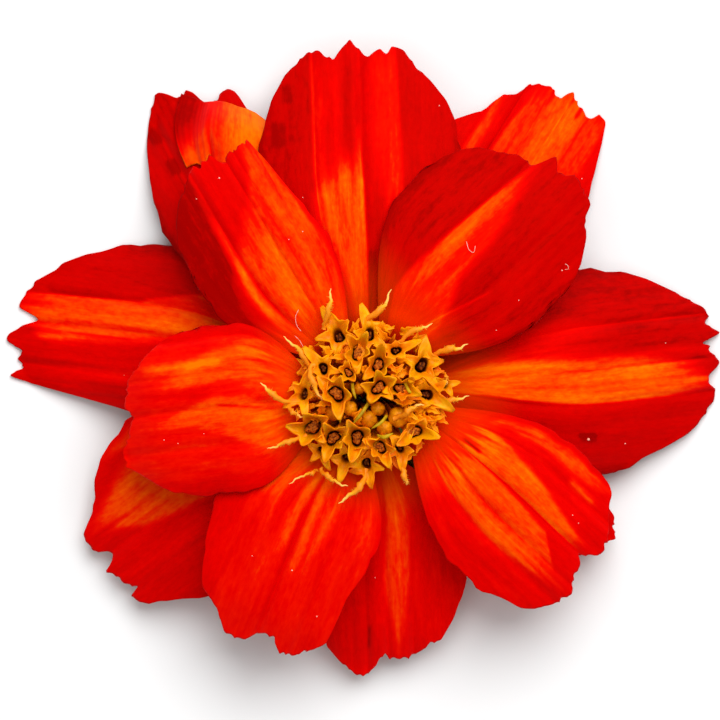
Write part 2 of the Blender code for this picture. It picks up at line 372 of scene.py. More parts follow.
@dataclass(frozen=True)
class PetalSkin:
    """Living petal skin: a thin, slightly waxy film over dyed cells, drawn out along the petal.

    The dye lies in flushes that break up into fibres along the veins, so the eye sees deep red
    running into orange in feathered lines, with a fine mottle over it and a low satin gloss that
    keeps the petal's own colour. Real cells are ten times finer than the mottle, too fine to show.

    Attributes:
        name: Name of the material.
        stops: Colours of the dye, from deep red at 0 to orange at 1.
        claw: Colour of the petal's base.
        claw_share: How much of it shows at the very base.
        fibres: The finest noise, a vein's width across.
        veins: Bundles of veins.
        mottle: Patches of cells.
        patches: Broad changes of tone.
        least_grain: Strength of the noise where the skin is deep red.
        grain_per_dye: How much stronger it is where the skin is orange.
        roughness: Roughness of the film.
        relief_mm: Depth of the ribs and cells.
    """

    name: str = "living_petal_skin"
    stops: tuple[tuple[float, str], ...] = (
        (0.0, "#980000"), (0.08, "#b80000"), (0.2, "#ca0000"), (0.38, "#e00000"),
        (0.54, "#ec0e00"), (0.66, "#f02e00"), (0.82, "#f64c00"), (1.0, "#fd6c00"),
    )
    claw: str = "#c83c00"
    claw_share: float = 0.55
    fibres: Grain = Grain(3.0, 0.09, 3.0, 0.24)
    veins: Grain = Grain(0.75, 0.18, 4.0, 0.44)
    mottle: Grain = Grain(2.6, 0.5, 4.0, 0.34)
    patches: Grain = Grain(0.35, 0.6, 2.0, 0.18)
    least_grain: float = 0.5
    grain_per_dye: float = 1.1
    roughness: float = 0.5
    relief_mm: float = 0.03

    def build(self) -> bpy.types.Material:
        """Build the skin.

        Returns:
            The material.
        """
        material, tree, shader = new_material(self.name)
        dye = add_node(tree, "Attribute", {"attribute_name": "dye"}).outputs["Fac"]
        sheet = add_node(tree, "UVMap").outputs["UV"]
        strengthen = {"operation": "MULTIPLY_ADD", "in:1": self.grain_per_dye, "in:2": self.least_grain}
        gain = add_node(tree, "Math", strengthen, {0: dye}).outputs[0]
        mixed = dye
        noises = []
        for grain in (self.fibres, self.veins, self.mottle, self.patches):
            scale = (grain.per_mm, grain.per_mm * grain.stretch, 1.0)
            drawn_out = add_node(tree, "Mapping", {"in:Scale": scale}, {"Vector": sheet}).outputs["Vector"]
            pattern = {"in:Scale": 1.0, "in:Detail": grain.detail, "in:Roughness": 0.62}
            noise = add_node(tree, "TexNoise", pattern, {"Vector": drawn_out}).outputs["Fac"]
            centre = {"operation": "MULTIPLY_ADD", "in:1": grain.weight, "in:2": -grain.weight / 2}
            centred = add_node(tree, "Math", centre, {0: noise}).outputs[0]
            added = {0: centred, 1: gain, 2: mixed}
            mixed = add_node(tree, "Math", {"operation": "MULTIPLY_ADD"}, added).outputs[0]
            noises.append(noise)
        ramp = add_node(tree, "ValToRGB", {"stops": self.stops}, {"Fac": mixed})
        claw = add_node(tree, "Attribute", {"attribute_name": "claw"})
        scaled = {"operation": "MULTIPLY", "in:1": self.claw_share}
        share = add_node(tree, "Math", scaled, {0: claw.outputs["Fac"]})
        tint = {"data_type": "RGBA", f"in:{MIX_SECOND}": linear(self.claw)}
        blend = {0: share.outputs[0], MIX_FIRST: ramp.outputs["Color"]}
        mix = add_node(tree, "Mix", tint, blend)
        tree.links.new(mix.outputs[MIX_RESULT], shader.inputs["Base Color"])
        relief = {"in:Strength": 0.5, "in:Distance": self.relief_mm * MM}
        ribs = add_node(tree, "Bump", relief, {"Height": noises[0]}).outputs["Normal"]
        cells = add_node(tree, "Bump", relief | {"in:Strength": 0.4}, {"Height": noises[2], "Normal": ribs})
        tree.links.new(cells.outputs["Normal"], shader.inputs["Normal"])
        shader.inputs["Roughness"].default_value = self.roughness
        shader.inputs["Specular IOR Level"].default_value = 0.12
        shader.inputs["Specular Tint"].default_value = linear("#ff5020")
        shader.inputs["IOR"].default_value = 1.4
        return material


@dataclass(frozen=True)
class PlantSkin:
    """Plain plant tissue: one colour running into another in soft patches, with a waxy gloss.

    Attributes:
        name: Name of the material.
        dark: Colour of the darker patches.
        light: Colour of the lighter patches.
        patch_per_mm: Patches per millimetre.
        roughness: Roughness of the surface.
        relief_mm: Depth of its fine relief.
        attribute: Name of the values that say where painted shade lies, if it has one.
        deep: Colour painted on what lies deep in the shade.
    """

    name: str
    dark: str
    light: str
    patch_per_mm: float
    roughness: float = 0.5
    relief_mm: float = 0.03
    attribute: str | None = None
    deep: str = "#000000"

    def build(self) -> bpy.types.Material:
        """Build the skin.

        Returns:
            The material.
        """
        material, tree, shader = new_material(self.name)
        place = add_node(tree, "TexCoord").outputs["Object"]
        spots = {"in:Scale": self.patch_per_mm / MM, "in:Detail": 4.0}
        patch = add_node(tree, "TexNoise", spots, {"Vector": place}).outputs["Fac"]
        stops = ((0.34, self.dark), (0.62, self.light))
        colour = add_node(tree, "ValToRGB", {"stops": stops}, {"Fac": patch}).outputs["Color"]
        if self.attribute:
            depth = add_node(tree, "Attribute", {"attribute_name": self.attribute}).outputs["Fac"]
            shade = {"data_type": "RGBA", f"in:{MIX_SECOND}": linear(self.deep)}
            colour = add_node(tree, "Mix", shade, {0: depth, MIX_FIRST: colour}).outputs[MIX_RESULT]
        tree.links.new(colour, shader.inputs["Base Color"])
        relief = {"in:Strength": 0.5, "in:Distance": self.relief_mm * MM}
        bump = add_node(tree, "Bump", relief, {"Height": patch})
        tree.links.new(bump.outputs["Normal"], shader.inputs["Normal"])
        shader.inputs["Roughness"].default_value = self.roughness
        shader.inputs["Specular IOR Level"].default_value = 0.15
        shader.inputs["IOR"].default_value = 1.4
        return material


@dataclass(frozen=True)
class StyleSkin:
    """Style flesh: orange-yellow and rough with pollen at the knot, thinning to a pale tip."""

    name: str = "style_flesh"
    stops: tuple[tuple[float, str], ...] = ((0.0, "#f58c00"), (0.25, "#ffaa08"), (1.0, "#ffcf6a"))

    def build(self) -> bpy.types.Material:
        """Build the skin.

        Returns:
            The material.
        """
        material, tree, shader = new_material(self.name)
        tip = add_node(tree, "Attribute", {"attribute_name": "tip"})
        ramp = add_node(tree, "ValToRGB", {"stops": self.stops}, {"Fac": tip.outputs["Fac"]})
        tree.links.new(ramp.outputs["Color"], shader.inputs["Base Color"])
        shader.inputs["Roughness"].default_value = 0.55
        shader.inputs["Specular IOR Level"].default_value = 0.3
        return material


@dataclass(frozen=True)
class LeafSkin:
    """Green leaf or stalk tissue: patchy green with paler veins and a soft satin gloss.

    Attributes:
        name: Name of the material.
        dark: Colour of the darker patches.
        light: Colour of the lighter patches.
        vein: Colour of the veins.
        vein_share: How much of it shows on a vein.
        patch_per_mm: Patches of tone per millimetre.
        cells_per_mm: Groups of cells per millimetre.
        relief_mm: Depth of the cells.
    """

    name: str
    dark: str
    light: str
    vein: str
    vein_share: float = 0.7
    patch_per_mm: float = 0.9
    cells_per_mm: float = 5.0
    relief_mm: float = 0.03

    def build(self) -> bpy.types.Material:
        """Build the skin.

        Returns:
            The material.
        """
        material, tree, shader = new_material(self.name)
        place = {"Vector": add_node(tree, "TexCoord").outputs["Object"]}
        patch = add_node(tree, "TexNoise", {"in:Scale": self.patch_per_mm / MM, "in:Detail": 5.0}, place)
        cells = add_node(tree, "TexNoise", {"in:Scale": self.cells_per_mm / MM, "in:Detail": 2.0}, place)
        stops = ((0.3, self.dark), (0.7, self.light))
        ramp = add_node(tree, "ValToRGB", {"stops": stops}, {"Fac": patch.outputs["Fac"]})
        vein = add_node(tree, "Attribute", {"attribute_name": "vein"})
        scaled = {"operation": "MULTIPLY", "in:1": self.vein_share}
        share = add_node(tree, "Math", scaled, {0: vein.outputs["Fac"]})
        tint = {"data_type": "RGBA", f"in:{MIX_SECOND}": linear(self.vein)}
        blend = {0: share.outputs[0], MIX_FIRST: ramp.outputs["Color"]}
        mix = add_node(tree, "Mix", tint, blend)
        tree.links.new(mix.outputs[MIX_RESULT], shader.inputs["Base Color"])
        relief = {"in:Strength": 0.5, "in:Distance": self.relief_mm * MM}
        bump = add_node(tree, "Bump", relief, {"Height": cells.outputs["Fac"]})
        tree.links.new(bump.outputs["Normal"], shader.inputs["Normal"])
        shader.inputs["Roughness"].default_value = 0.5
        shader.inputs["Specular IOR Level"].default_value = 0.3
        shader.inputs["IOR"].default_value = 1.4
        return material


# --------------------------------------------------------------------------- petals


@dataclass(frozen=True)
class Streak:
    """A soft-edged line of dye that runs along a petal.

    Attributes:
        side: Where it starts, as a share of the half width, positive on the left.
        side_end: Where it ends, in the same way.
        start: Share of the length at which it starts.
        end: Share of the length at which it ends.
        width: Half width of the line, as a share of the petal's half width.
        strength: How much it adds to the dye, negative where it deepens the red.
    """

    side: float
    side_end: float
    start: float
    end: float
    width: float
    strength: float

    def over(self, side: Points, along: Points) -> Points:
        """Lay the streak on a petal.

        Args:
            side: Place across the petal, from -1 at the right edge to 1 at the left.
            along: Share of the petal's length.

        Returns:
            How much the streak adds at each point.
        """
        progress = (along - self.start) / (self.end - self.start)
        centre = self.side + (self.side_end - self.side) * np.clip(progress, 0.0, 1.0)
        body = np.exp(-(((side - centre) / self.width) ** 2))
        ends = smooth_step(progress, -0.12, 0.12) * (1 - smooth_step(progress, 0.82, 1.06))
        return self.strength * body * ends


@dataclass(frozen=True)
class Flush:
    """A broad flush of dye between a left and a right edge that change along the petal.

    Attributes:
        edges: Rows of (share of the length, left edge, right edge), from the claw outwards.
        strength: How much it adds to the dye.
        soft_left: Width over which the left edge fades.
        soft_right: Width over which the right edge fades.
    """

    edges: tuple[tuple[float, float, float], ...]
    strength: float
    soft_left: float = 0.1
    soft_right: float = 0.1

    def over(self, side: Points, along: Points) -> Points:
        """Lay the flush on a petal.

        Args:
            side: Place across the petal, from -1 at the right edge to 1 at the left.
            along: Share of the petal's length.

        Returns:
            How much the flush adds at each point.
        """
        places, lefts, rights = zip(*self.edges)
        left, right = np.interp(along, places, lefts), np.interp(along, places, rights)
        inside = smooth_step(left - side, -self.soft_left, self.soft_left)
        inside = inside * smooth_step(side - right, -self.soft_right, self.soft_right)
        frayed = along + 0.035 * np.sin(side * 31 + places[0] * 9)
        frayed = frayed + 0.025 * np.sin(side * 77 + places[-1] * 5)
        near_end = smooth_step(frayed, places[0] - 0.06, places[0] + 0.06)
        far_end = 1 - smooth_step(frayed, places[-1] - 0.16, places[-1] + 0.08)
        return self.strength * inside * near_end * far_end


@dataclass(frozen=True)
class Crease:
    """A lengthwise fold in a petal: its place across, its depth and its half width."""

    side: float
    depth: float
    width: float


class Layer(Enum):
    """Heights of the petal layers against the distance from the flower's axis."""

    LOW = (
        (4.55, 4.7), (5.0, 5.9), (6.0, 6.5), (8.0, 6.8), (12.0, 6.4), (16.0, 5.3), (20.0, 3.9), (25.0, 2.0),
        (30.5, 0.3),
    )
    MIDDLE = (
        (4.55, 4.7), (5.0, 6.0), (6.0, 7.0), (8.0, 7.6), (12.0, 7.4), (16.0, 6.4), (20.0, 4.9), (25.0, 2.8),
        (30.5, 0.3),
    )
    UPPER = (
        (3.75, 4.7), (4.5, 6.3), (5.6, 7.7), (8.0, 8.7), (12.0, 8.8), (16.0, 8.2), (20.0, 7.1), (25.0, 5.4),
        (30.5, 3.6),
    )
    TOP = (
        (3.75, 4.7), (4.5, 7.4), (5.6, 9.2), (8.0, 10.1), (12.0, 10.3), (16.0, 9.8), (20.0, 8.8),
        (26.0, 6.8),
    )
    CREST = ((3.75, 4.7), (4.5, 7.6), (5.6, 9.8), (8.0, 11.0), (12.0, 11.6), (16.0, 11.0), (21.0, 9.6))


@dataclass(frozen=True)
class Outline:
    """The plan of a petal, seen from above.

    Attributes:
        claw: Azimuth of the claw on the receptacle.
        tip: Azimuth of the tip, seen from the flower's axis.
        reach: Distance of the tip from the axis.
        left: Greatest width on the anticlockwise side of the midrib.
        right: Greatest width on the clockwise side of the midrib.
        broad: Share of the length at which the blade is full width.
        teeth: Pairs of (share of the half width, shortfall of the edge) from right to left.
    """

    claw: float
    tip: float
    reach: float
    left: float
    right: float
    broad: float
    teeth: Curve

    WEAR = 0.012
    NICK_DEPTH = 0.28

    def shortfall(self, side: Points) -> Points:
        """Cut the teeth, their corners a little rounded and fine nicks between them.

        Args:
            side: Place across the petal, from -1 at the right edge to 1 at the left.

        Returns:
            How far the edge falls short of the reach at each place.
        """
        places, cuts = zip(*self.teeth)
        nudges = (-self.WEAR, 0.0, self.WEAR)
        worn = sum(np.interp(side + nudge, places, cuts) for nudge in nudges) / len(nudges)
        nicks = np.abs(np.sin(side * 31 + self.tip)) * np.abs(np.sin(side * 11 + self.claw)) ** 2
        return worn + self.NICK_DEPTH * nicks * (1 - smooth_step(np.abs(side), 0.5, 0.75))


@dataclass(frozen=True)
class RayPetal:
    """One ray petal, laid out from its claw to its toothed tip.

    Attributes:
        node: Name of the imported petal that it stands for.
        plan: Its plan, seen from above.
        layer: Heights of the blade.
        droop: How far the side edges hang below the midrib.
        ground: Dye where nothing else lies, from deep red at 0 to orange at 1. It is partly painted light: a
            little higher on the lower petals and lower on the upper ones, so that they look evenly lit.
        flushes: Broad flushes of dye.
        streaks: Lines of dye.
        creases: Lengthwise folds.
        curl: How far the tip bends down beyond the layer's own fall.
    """

    node: str
    plan: Outline
    layer: Layer
    droop: float
    ground: float
    flushes: tuple[Flush, ...]
    streaks: tuple[Streak, ...]
    creases: tuple[Crease, ...]
    curl: float = 0.3

    COLUMNS = 120
    ROWS = 112
    THICKNESS = 0.24
    CLAW_HALF_WIDTH = 0.55
    CLAW_HEIGHT = 4.7
    CREASE_SHARE = 0.6
    # Height of each ripple, its waves across and along the petal, and its share of the petal's phase.
    RIPPLES = ((0.07, 5.1, 4.3, 1.0), (0.03, 9.7, -11.0, 1.3))
    VEIN_HEIGHT = 0.014
    RUFFLE_HEIGHT = 0.26
    RED_RIM = 0.10

    def build(self, skins: Sequence[bpy.types.Material]) -> bpy.types.Object:
        """Build the petal.

        Args:
            skins: Materials of the face and of the underside.

        Returns:
            The finished piece.
        """
        piece = grid_primitive(self.node.replace("petal", "ray_petal", 1), self.COLUMNS, self.ROWS)
        mesh = piece.data
        flat = points_of(mesh)
        side, share = -flat[:, 0], (flat[:, 1] + 1) / 2
        points, along, across_mm, along_mm = self.surface(side, share)
        set_points(mesh, (points + AXIS) * MM)
        set_values(mesh, "dye", self.dye(side, along))
        set_values(mesh, "claw", 1 - smooth_step(along, 0.08, 0.34))
        set_sheet_map(mesh, across_mm, along_mm)
        for skin in skins:
            mesh.materials.append(skin)
        thicken(piece, self.THICKNESS * MM, material_offset=1)
        smooth_shading(piece)
        return piece

    def surface(self, side: Points, share: Points) -> tuple[Points, Points, Points, Points]:
        """Lay out the middle of the blade.

        Args:
            side: Place across the blade, from -1 at the right edge to 1 at the left.
            share: Place along the blade, from 0 at the claw to 1 at the toothed edge.

        Returns:
            The points, the share of the petal's length at each, and the sheet's own map.
        """
        plan = self.plan
        claw = heading(plan.claw) * self.layer.value[0][0]
        midrib = heading(plan.tip) * plan.reach - claw
        length = float(np.hypot(*midrib))
        forward = midrib / length
        leftward = np.array((-forward[1], forward[0]))
        run = share * (length - plan.shortfall(side))
        along = run / length
        fan = np.sin(math.pi / 2 * np.minimum(1.0, along / plan.broad))
        half = np.where(side > 0, plan.left, plan.right)
        offset = side * (self.CLAW_HALF_WIDTH + (half - self.CLAW_HALF_WIDTH) * fan)
        edge = smooth_step(np.abs(side), 0.8, 1.0) * smooth_step(along, 0.3, 0.5)
        waves = 0.10 * np.sin(along * 33 + plan.claw) + 0.06 * np.sin(along * 71 + plan.tip)
        offset = offset + edge * waves
        spot = claw + run[:, None] * forward + offset[:, None] * leftward
        height = smooth_curve(np.hypot(spot[:, 0], spot[:, 1]), self.layer.value)
        height = np.where(share == 0, self.CLAW_HEIGHT, height)
        resting = self.THICKNESS * 0.55
        height = np.maximum(height + self.relief(side, along, fan), resting)
        return np.column_stack((spot, height)), along, side * half, run

    def relief(self, side: Points, along: Points, fan: Points) -> Points:
        """Fold, ripple and droop the blade.

        Args:
            side: Place across the blade, from -1 at the right edge to 1 at the left.
            along: Share of the petal's length.
            fan: Share of the full width that the blade has there.

        Returns:
            How far each point moves up.
        """
        spread = fan * smooth_step(along, 0.02, 0.3)
        rise = -self.droop * side * side * fan
        for crease in self.creases:
            dip = np.exp(-(((side - crease.side) / crease.width) ** 2))
            rise = rise - self.CREASE_SHARE * crease.depth * dip * spread
        phase = self.plan.claw * 0.7
        rise = rise + self.VEIN_HEIGHT * np.sin(side * 41 + phase + np.sin(along * 5)) * spread
        for height, across, lengthwise, shift in self.RIPPLES:
            rise = rise + height * np.sin(side * across + along * lengthwise + phase * shift) * spread
        ruffle = np.sin(side * 11 + phase * 1.7) * smooth_step(along, 0.72, 1.02) * side * side
        return rise + self.RUFFLE_HEIGHT * ruffle - self.curl * smooth_step(along, 0.75, 1.05) ** 2

    def dye(self, side: Points, along: Points) -> Points:
        """Dye the blade.

        Args:
            side: Place across the blade, from -1 at the right edge to 1 at the left.
            along: Share of the petal's length.

        Returns:
            How orange the skin is at each point, from deep red at 0 to orange at 1.
        """
        value = np.full_like(side, self.ground)
        for mark in (*self.flushes, *self.streaks):
            value = value + mark.over(side, along)
        return np.clip(value - self.RED_RIM * smooth_step(np.abs(side), 0.86, 1.0), 0.0, 1.0)


# Each petal's ground is partly painted light: a little higher on the lower petals and lower on the upper
# ones, so that they look evenly lit.
PETALS = (
    RayPetal(
        "petal_01_top",
        Outline(
            99, 92.4, 30.25, 8.3, 8.7, 0.62,
            (
                (-1, 9.6), (-0.94, 7), (-0.86, 5.3), (-0.72, 3.7), (-0.58, 2.4), (-0.48, 1.1), (-0.36, 0.6),
                (-0.31, 1.1), (-0.22, 0.8), (-0.12, 1.6), (0.05, -0.1), (0.23, 1.6), (0.39, 0.8),
                (0.44, 1.1), (0.5, 0.9), (0.57, 1.6), (0.73, 3), (0.87, 5.1), (0.95, 7.2), (1, 9.6),
            ),
        ),
        Layer.UPPER, 0.6, 0.14,
        (
            Flush(
                (
                    (0.0, 0.2, -0.25), (0.2, 0.28, -0.12), (0.4, 0.44, -0.08), (0.5, 0.42, -0.06),
                    (0.58, 0.22, -0.04), (0.66, 0.06, -0.02),
                ),
                0.6, 0.16, 0.02,
            ),
            Flush(
                (
                    (0.45, -0.3, -0.45), (0.6, -0.2, -0.44), (0.75, -0.18, -0.42), (0.9, -0.16, -0.4),
                    (1.0, -0.2, -0.38),
                ),
                0.28, 0.14, 0.02,
            ),
            Flush(((0.5, 0.45, -0.4), (1.1, 0.45, -0.4)), 0.1, 0.03, 0.03),
            Flush(((0.3, 1.2, 0.5), (1.1, 1.2, 0.44)), -0.05, 0.1, 0.04),
        ),
        (
            Streak(0.43, 0.45, 0.42, 1.0, 0.016, 0.36), Streak(0.36, 0.4, 0.5, 0.95, 0.05, 0.2),
            Streak(-0.03, -0.01, 0.4, 0.72, 0.016, 0.22), Streak(-0.18, -0.14, 0.0, 0.34, 0.07, -0.2),
            Streak(0.1, 0.08, 0.6, 0.95, 0.05, -0.14), Streak(0.22, 0.22, 0.55, 0.9, 0.05, 0.1),
            Streak(0.8, 0.8, 0.66, 0.74, 0.05, -0.3), Streak(0.7, 0.72, 0.8, 0.86, 0.04, -0.25),
        ),
        (Crease(0.45, 0.35, 0.05), Crease(-0.04, 0.4, 0.05), Crease(-0.4, 0.16, 0.045)),
    ),
    RayPetal(
        "petal_02_upper_right",
        Outline(
            70, 47.3, 25.4, 9.0, 6.75, 0.5,
            (
                (-1, 10.7), (-0.96, 6.6), (-0.88, 5), (-0.67, 3), (-0.51, 2), (-0.41, 0.8), (-0.26, 0.3),
                (0, 0), (0.12, 0.9), (0.25, 0.0), (0.31, 1.8), (0.51, 2.4), (0.61, 3.1), (0.81, 4.4),
                (0.92, 5.9), (0.99, 7.6), (1, 10),
            ),
        ),
        Layer.TOP, 0.7, 0.08,
        (
            Flush(
                (
                    (0.02, 0.6, -0.5), (0.2, 0.62, -0.35), (0.3, 0.5, -0.16), (0.4, 0.44, 0.02),
                    (0.5, 0.42, 0.06), (0.6, 0.4, 0.08), (0.7, 0.38, 0.13), (0.8, 0.36, 0.22),
                    (0.94, 0.31, 0.27),
                ),
                0.44, 0.03, 0.08,
            ),
            Flush(((0.3, 0.42, 0.26), (0.6, 0.4, 0.26), (0.9, 0.34, 0.28)), 0.22, 0.02, 0.05),
            Flush(((0.05, -0.2, -0.75), (0.2, -0.2, -0.5), (0.32, -0.2, -0.35)), 0.22, 0.1, 0.1),
            Flush(((0.3, 0.3, -1.1), (1.1, 0.24, -1.1)), 0.02, 0.05, 0.1),
        ),
        (
            Streak(-0.12, -0.35, 0.15, 0.46, 0.018, 0.25), Streak(0.1, 0.08, 0.3, 0.62, 0.02, 0.15),
            Streak(0.14, 0.15, 0.7, 0.78, 0.03, -0.12),
        ),
        (Crease(0.38, 0.5, 0.045), Crease(-0.3, 0.2, 0.08)),
    ),
    RayPetal(
        "petal_03_upper_left",
        Outline(
            127, 121.8, 23.8, 7.3, 4.2, 0.5,
            (
                (-1, 10), (-0.9, 7.1), (-0.79, 4.7), (-0.71, 1.9), (-0.6, -0.1), (-0.3, 0.1), (-0.19, 0),
                (0.03, 0.6), (0.11, -0.7), (0.17, -0.2), (0.23, -0.5), (0.28, -0.1), (0.34, -0.6),
                (0.7, 1.6), (0.86, 3.2), (0.96, 5), (1, 8),
            ),
        ),
        Layer.TOP, 0.7, 0.34,
        (
            Flush(
                (
                    (0.0, 0.9, -0.9), (0.2, 0.85, -0.95), (0.35, 0.72, -0.95), (0.5, 0.62, -0.88),
                    (0.65, 0.3, -0.82), (0.75, 0.08, -0.78), (0.9, -0.35, -0.74), (1.05, -0.5, -0.7),
                ),
                0.3, 0.12, 0.06,
            ),
            Flush(((0.25, 0.3, -0.05), (0.5, 0.22, -0.05), (0.7, 0.12, 0.0)), 0.18, 0.06, 0.1),
            Flush(((0.6, 0.3, -0.3), (1.1, 0.3, -0.3)), -0.06, 0.1, 0.1),
            Flush(((0.2, 1.2, 0.62), (1.1, 1.2, 0.42)), -0.38, 0.1, 0.06),
        ),
        (
            Streak(0.52, 0.46, 0.3, 0.8, 0.045, 0.3), Streak(0.41, 0.42, 0.25, 0.88, 0.035, -0.28),
            Streak(-0.45, -0.42, 0.3, 0.8, 0.08, 0.14), Streak(0.06, 0.04, 0.62, 0.8, 0.03, -0.15),
            Streak(-0.25, -0.22, 0.3, 0.75, 0.03, -0.12),
        ),
        (
            Crease(0.42, 0.45, 0.05), Crease(-0.02, 0.25, 0.05), Crease(-0.25, 0.2, 0.05),
            Crease(-0.62, 0.25, 0.07),
        ),
    ),
    RayPetal(
        "petal_04_left",
        Outline(
            181, -174.6, 20.6, 7.1, 6.9, 0.42,
            (
                (-1, 7.5), (-0.97, 5.2), (-0.87, 3.6), (-0.71, 2.1), (-0.48, 0.6), (-0.32, 0.2), (-0.12, 0),
                (-0.04, 0.5), (0.08, 0.4), (0.2, 0), (0.38, -0.6), (0.56, -0.6), (0.66, 0.7), (0.83, 2.2),
                (0.94, 3.6), (1, 6),
            ),
        ),
        Layer.CREST, 1.3, 0.47,
        (
            Flush(((0.0, 0.9, -0.95), (0.2, 0.8, -0.95), (0.38, 0.6, -0.85)), 0.18, 0.12, 0.08),
            Flush(
                (
                    (0.25, 0.6, 0.1), (0.4, 0.45, -0.1), (0.55, 0.26, -0.18), (0.7, 0.2, -0.02),
                    (0.8, 0.19, 0.08), (0.88, 0.17, 0.1),
                ),
                0.26, 0.07, 0.06,
            ),
            Flush(
                ((0.3, -0.3, -0.8), (0.5, -0.33, -0.72), (0.65, -0.3, -0.6), (0.8, -0.25, -0.36)),
                0.26, 0.04, 0.08,
            ),
            Flush(((0.2, 1.2, 0.8), (1.1, 1.2, 0.78)), -0.14, 0.1, 0.08),
            Flush(((0.2, -0.88, -1.2), (1.1, -0.8, -1.2)), -0.16, 0.05, 0.1),
        ),
        (
            Streak(-0.55, -0.56, 0.5, 0.9, 0.045, 0.34), Streak(-0.14, -0.24, 0.45, 0.95, 0.04, -0.14),
            Streak(0.05, -0.05, 0.32, 0.55, 0.02, -0.25),
        ),
        (
            Crease(0.0, 0.35, 0.06), Crease(-0.42, 0.25, 0.05), Crease(0.45, 0.25, 0.07),
            Crease(-0.86, 0.3, 0.05),
        ),
        1.0,
    ),
    RayPetal(
        "petal_05_lower_left",
        Outline(
            -111, -111.6, 22.5, 5.3, 8.9, 0.45,
            (
                (-1, 9), (-0.93, 5.9), (-0.88, 4), (-0.81, 2.4), (-0.67, 1.6), (-0.54, 0.4), (-0.45, -0.5),
                (-0.3, -0.7), (-0.24, -0.3), (-0.18, 0.5), (-0.01, 0.6), (0.17, -0.5), (0.4, -0.1),
                (0.57, 0.6), (0.74, 1.5), (0.8, 2), (0.82, 5.6), (0.92, 8), (1, 11),
            ),
        ),
        Layer.TOP, 0.9, 0.45,
        (
            Flush(
                ((0.05, -0.3, -1.0), (0.2, -0.45, -0.95), (0.3, -0.45, -0.76), (0.42, -0.45, -0.55)),
                0.28, 0.05, 0.08,
            ),
            Flush(((0.0, 0.6, -0.6), (0.32, 0.5, -0.4)), 0.18, 0.1, 0.1),
            Flush(((0.3, 0.22, 0.02), (0.6, 0.12, 0.0)), 0.2, 0.08, 0.08),
            Flush(((0.3, 0.85, 0.6), (0.55, 0.8, 0.62)), 0.16, 0.1, 0.08),
            Flush(((0.3, -0.7, -1.2), (1.1, -0.7, -1.2)), -0.12, 0.12, 0.1),
        ),
        (
            Streak(-0.09, -0.09, 0.15, 0.7, 0.045, 0.28), Streak(-0.24, -0.26, 0.15, 0.6, 0.05, 0.26),
            Streak(-0.17, -0.18, 0.2, 1.0, 0.03, -0.2), Streak(0.1, 0.14, 0.62, 1.0, 0.08, 0.06),
        ),
        (Crease(-0.17, 0.6, 0.04), Crease(0.0, 0.2, 0.05), Crease(0.35, 0.2, 0.08), Crease(-0.5, 0.3, 0.07)),
        0.6,
    ),
    RayPetal(
        "petal_06_lower_right",
        Outline(
            -19, -39.6, 23.6, 7.1, 7.05, 0.6,
            (
                (-1, 6.4), (-0.99, 5.4), (-0.89, 3.9), (-0.82, 2.1), (-0.71, 1.2), (-0.47, 0.1),
                (-0.29, -0.2), (-0.11, 0.6), (0.04, 1), (0.11, 1.6), (0.24, 0.5), (0.34, 0.3), (0.49, 0.7),
                (0.79, 2.7), (0.89, 3.1), (0.97, 4), (1, 6),
            ),
        ),
        Layer.TOP, 0.8, 0.34,
        (
            Flush(
                ((0.0, 0.95, -0.95), (0.2, 0.9, -0.9), (0.3, 0.8, -0.7), (0.38, 0.62, -0.5)),
                0.2, 0.1, 0.1,
            ),
            Flush(
                (
                    (0.28, 0.64, 0.15), (0.45, 0.5, 0.14), (0.6, 0.42, 0.14), (0.75, 0.33, 0.13),
                    (0.85, 0.26, 0.12), (0.93, 0.2, 0.13),
                ),
                0.46, 0.05, 0.02,
            ),
            Flush(
                (
                    (0.28, 0.12, -0.5), (0.45, 0.1, -0.48), (0.6, 0.07, -0.47), (0.75, 0.04, -0.45),
                    (0.82, -0.1, -0.44), (0.9, -0.25, -0.4),
                ),
                0.38, 0.02, 0.05,
            ),
            Flush(((0.42, 0.92, 0.74), (0.7, 0.94, 0.78), (0.86, 0.95, 0.84)), 0.36, 0.04, 0.06),
        ),
        (
            Streak(0.13, 0.12, 0.3, 0.95, 0.02, -0.22), Streak(-0.2, -0.23, 0.35, 0.75, 0.03, -0.16),
            Streak(0.68, 0.67, 0.68, 0.82, 0.04, 0.32), Streak(0.85, 0.87, 0.28, 0.48, 0.06, 0.3),
            Streak(0.28, 0.24, 0.24, 0.33, 0.03, -0.5), Streak(-0.33, -0.32, 0.3, 0.8, 0.015, 0.14),
        ),
        (
            Crease(0.13, 0.45, 0.045), Crease(0.6, 0.3, 0.06), Crease(-0.22, 0.25, 0.045),
            Crease(-0.5, 0.25, 0.06),
        ),
        0.6,
    ),
    RayPetal(
        "petal_07_right",
        Outline(
            14, 8.0, 29.7, 7.9, 9.45, 0.58,
            (
                (-1, 10.1), (-0.96, 8.8), (-0.89, 7.4), (-0.82, 5.4), (-0.73, 3.4), (-0.66, 2.5),
                (-0.56, 1.5), (-0.46, 0.8), (-0.35, 0.5), (-0.28, 0.9), (-0.25, 1.0), (-0.13, -0.1),
                (0.0, 0.5), (0.04, 0.4), (0.07, 1.3), (0.16, -0.5), (0.27, 0.6), (0.31, 0.4), (0.37, 0.3),
                (0.45, 0.7), (0.59, 2.2), (0.7, 3.6), (0.83, 5.3), (0.93, 7.2), (1, 10),
            ),
        ),
        Layer.MIDDLE, 2.0, 0.07,
        (
            Flush(
                (
                    (0.02, 0.25, -0.4), (0.2, 0.18, -0.32), (0.35, 0.12, -0.33), (0.5, 0.06, -0.35),
                    (0.65, 0.02, -0.37), (0.8, -0.03, -0.37), (0.9, -0.1, -0.35), (0.98, -0.2, -0.33),
                ),
                0.76, 0.09, 0.025,
            ),
            Flush(
                ((0.1, 0.45, 0.1), (0.35, 0.52, 0.05), (0.5, 0.5, 0.05), (0.62, 0.45, 0.12)),
                0.24, 0.05, 0.1,
            ),
            Flush(((0.6, 0.1, -0.1), (1.05, 0.06, -0.1)), 0.16, 0.04, 0.06),
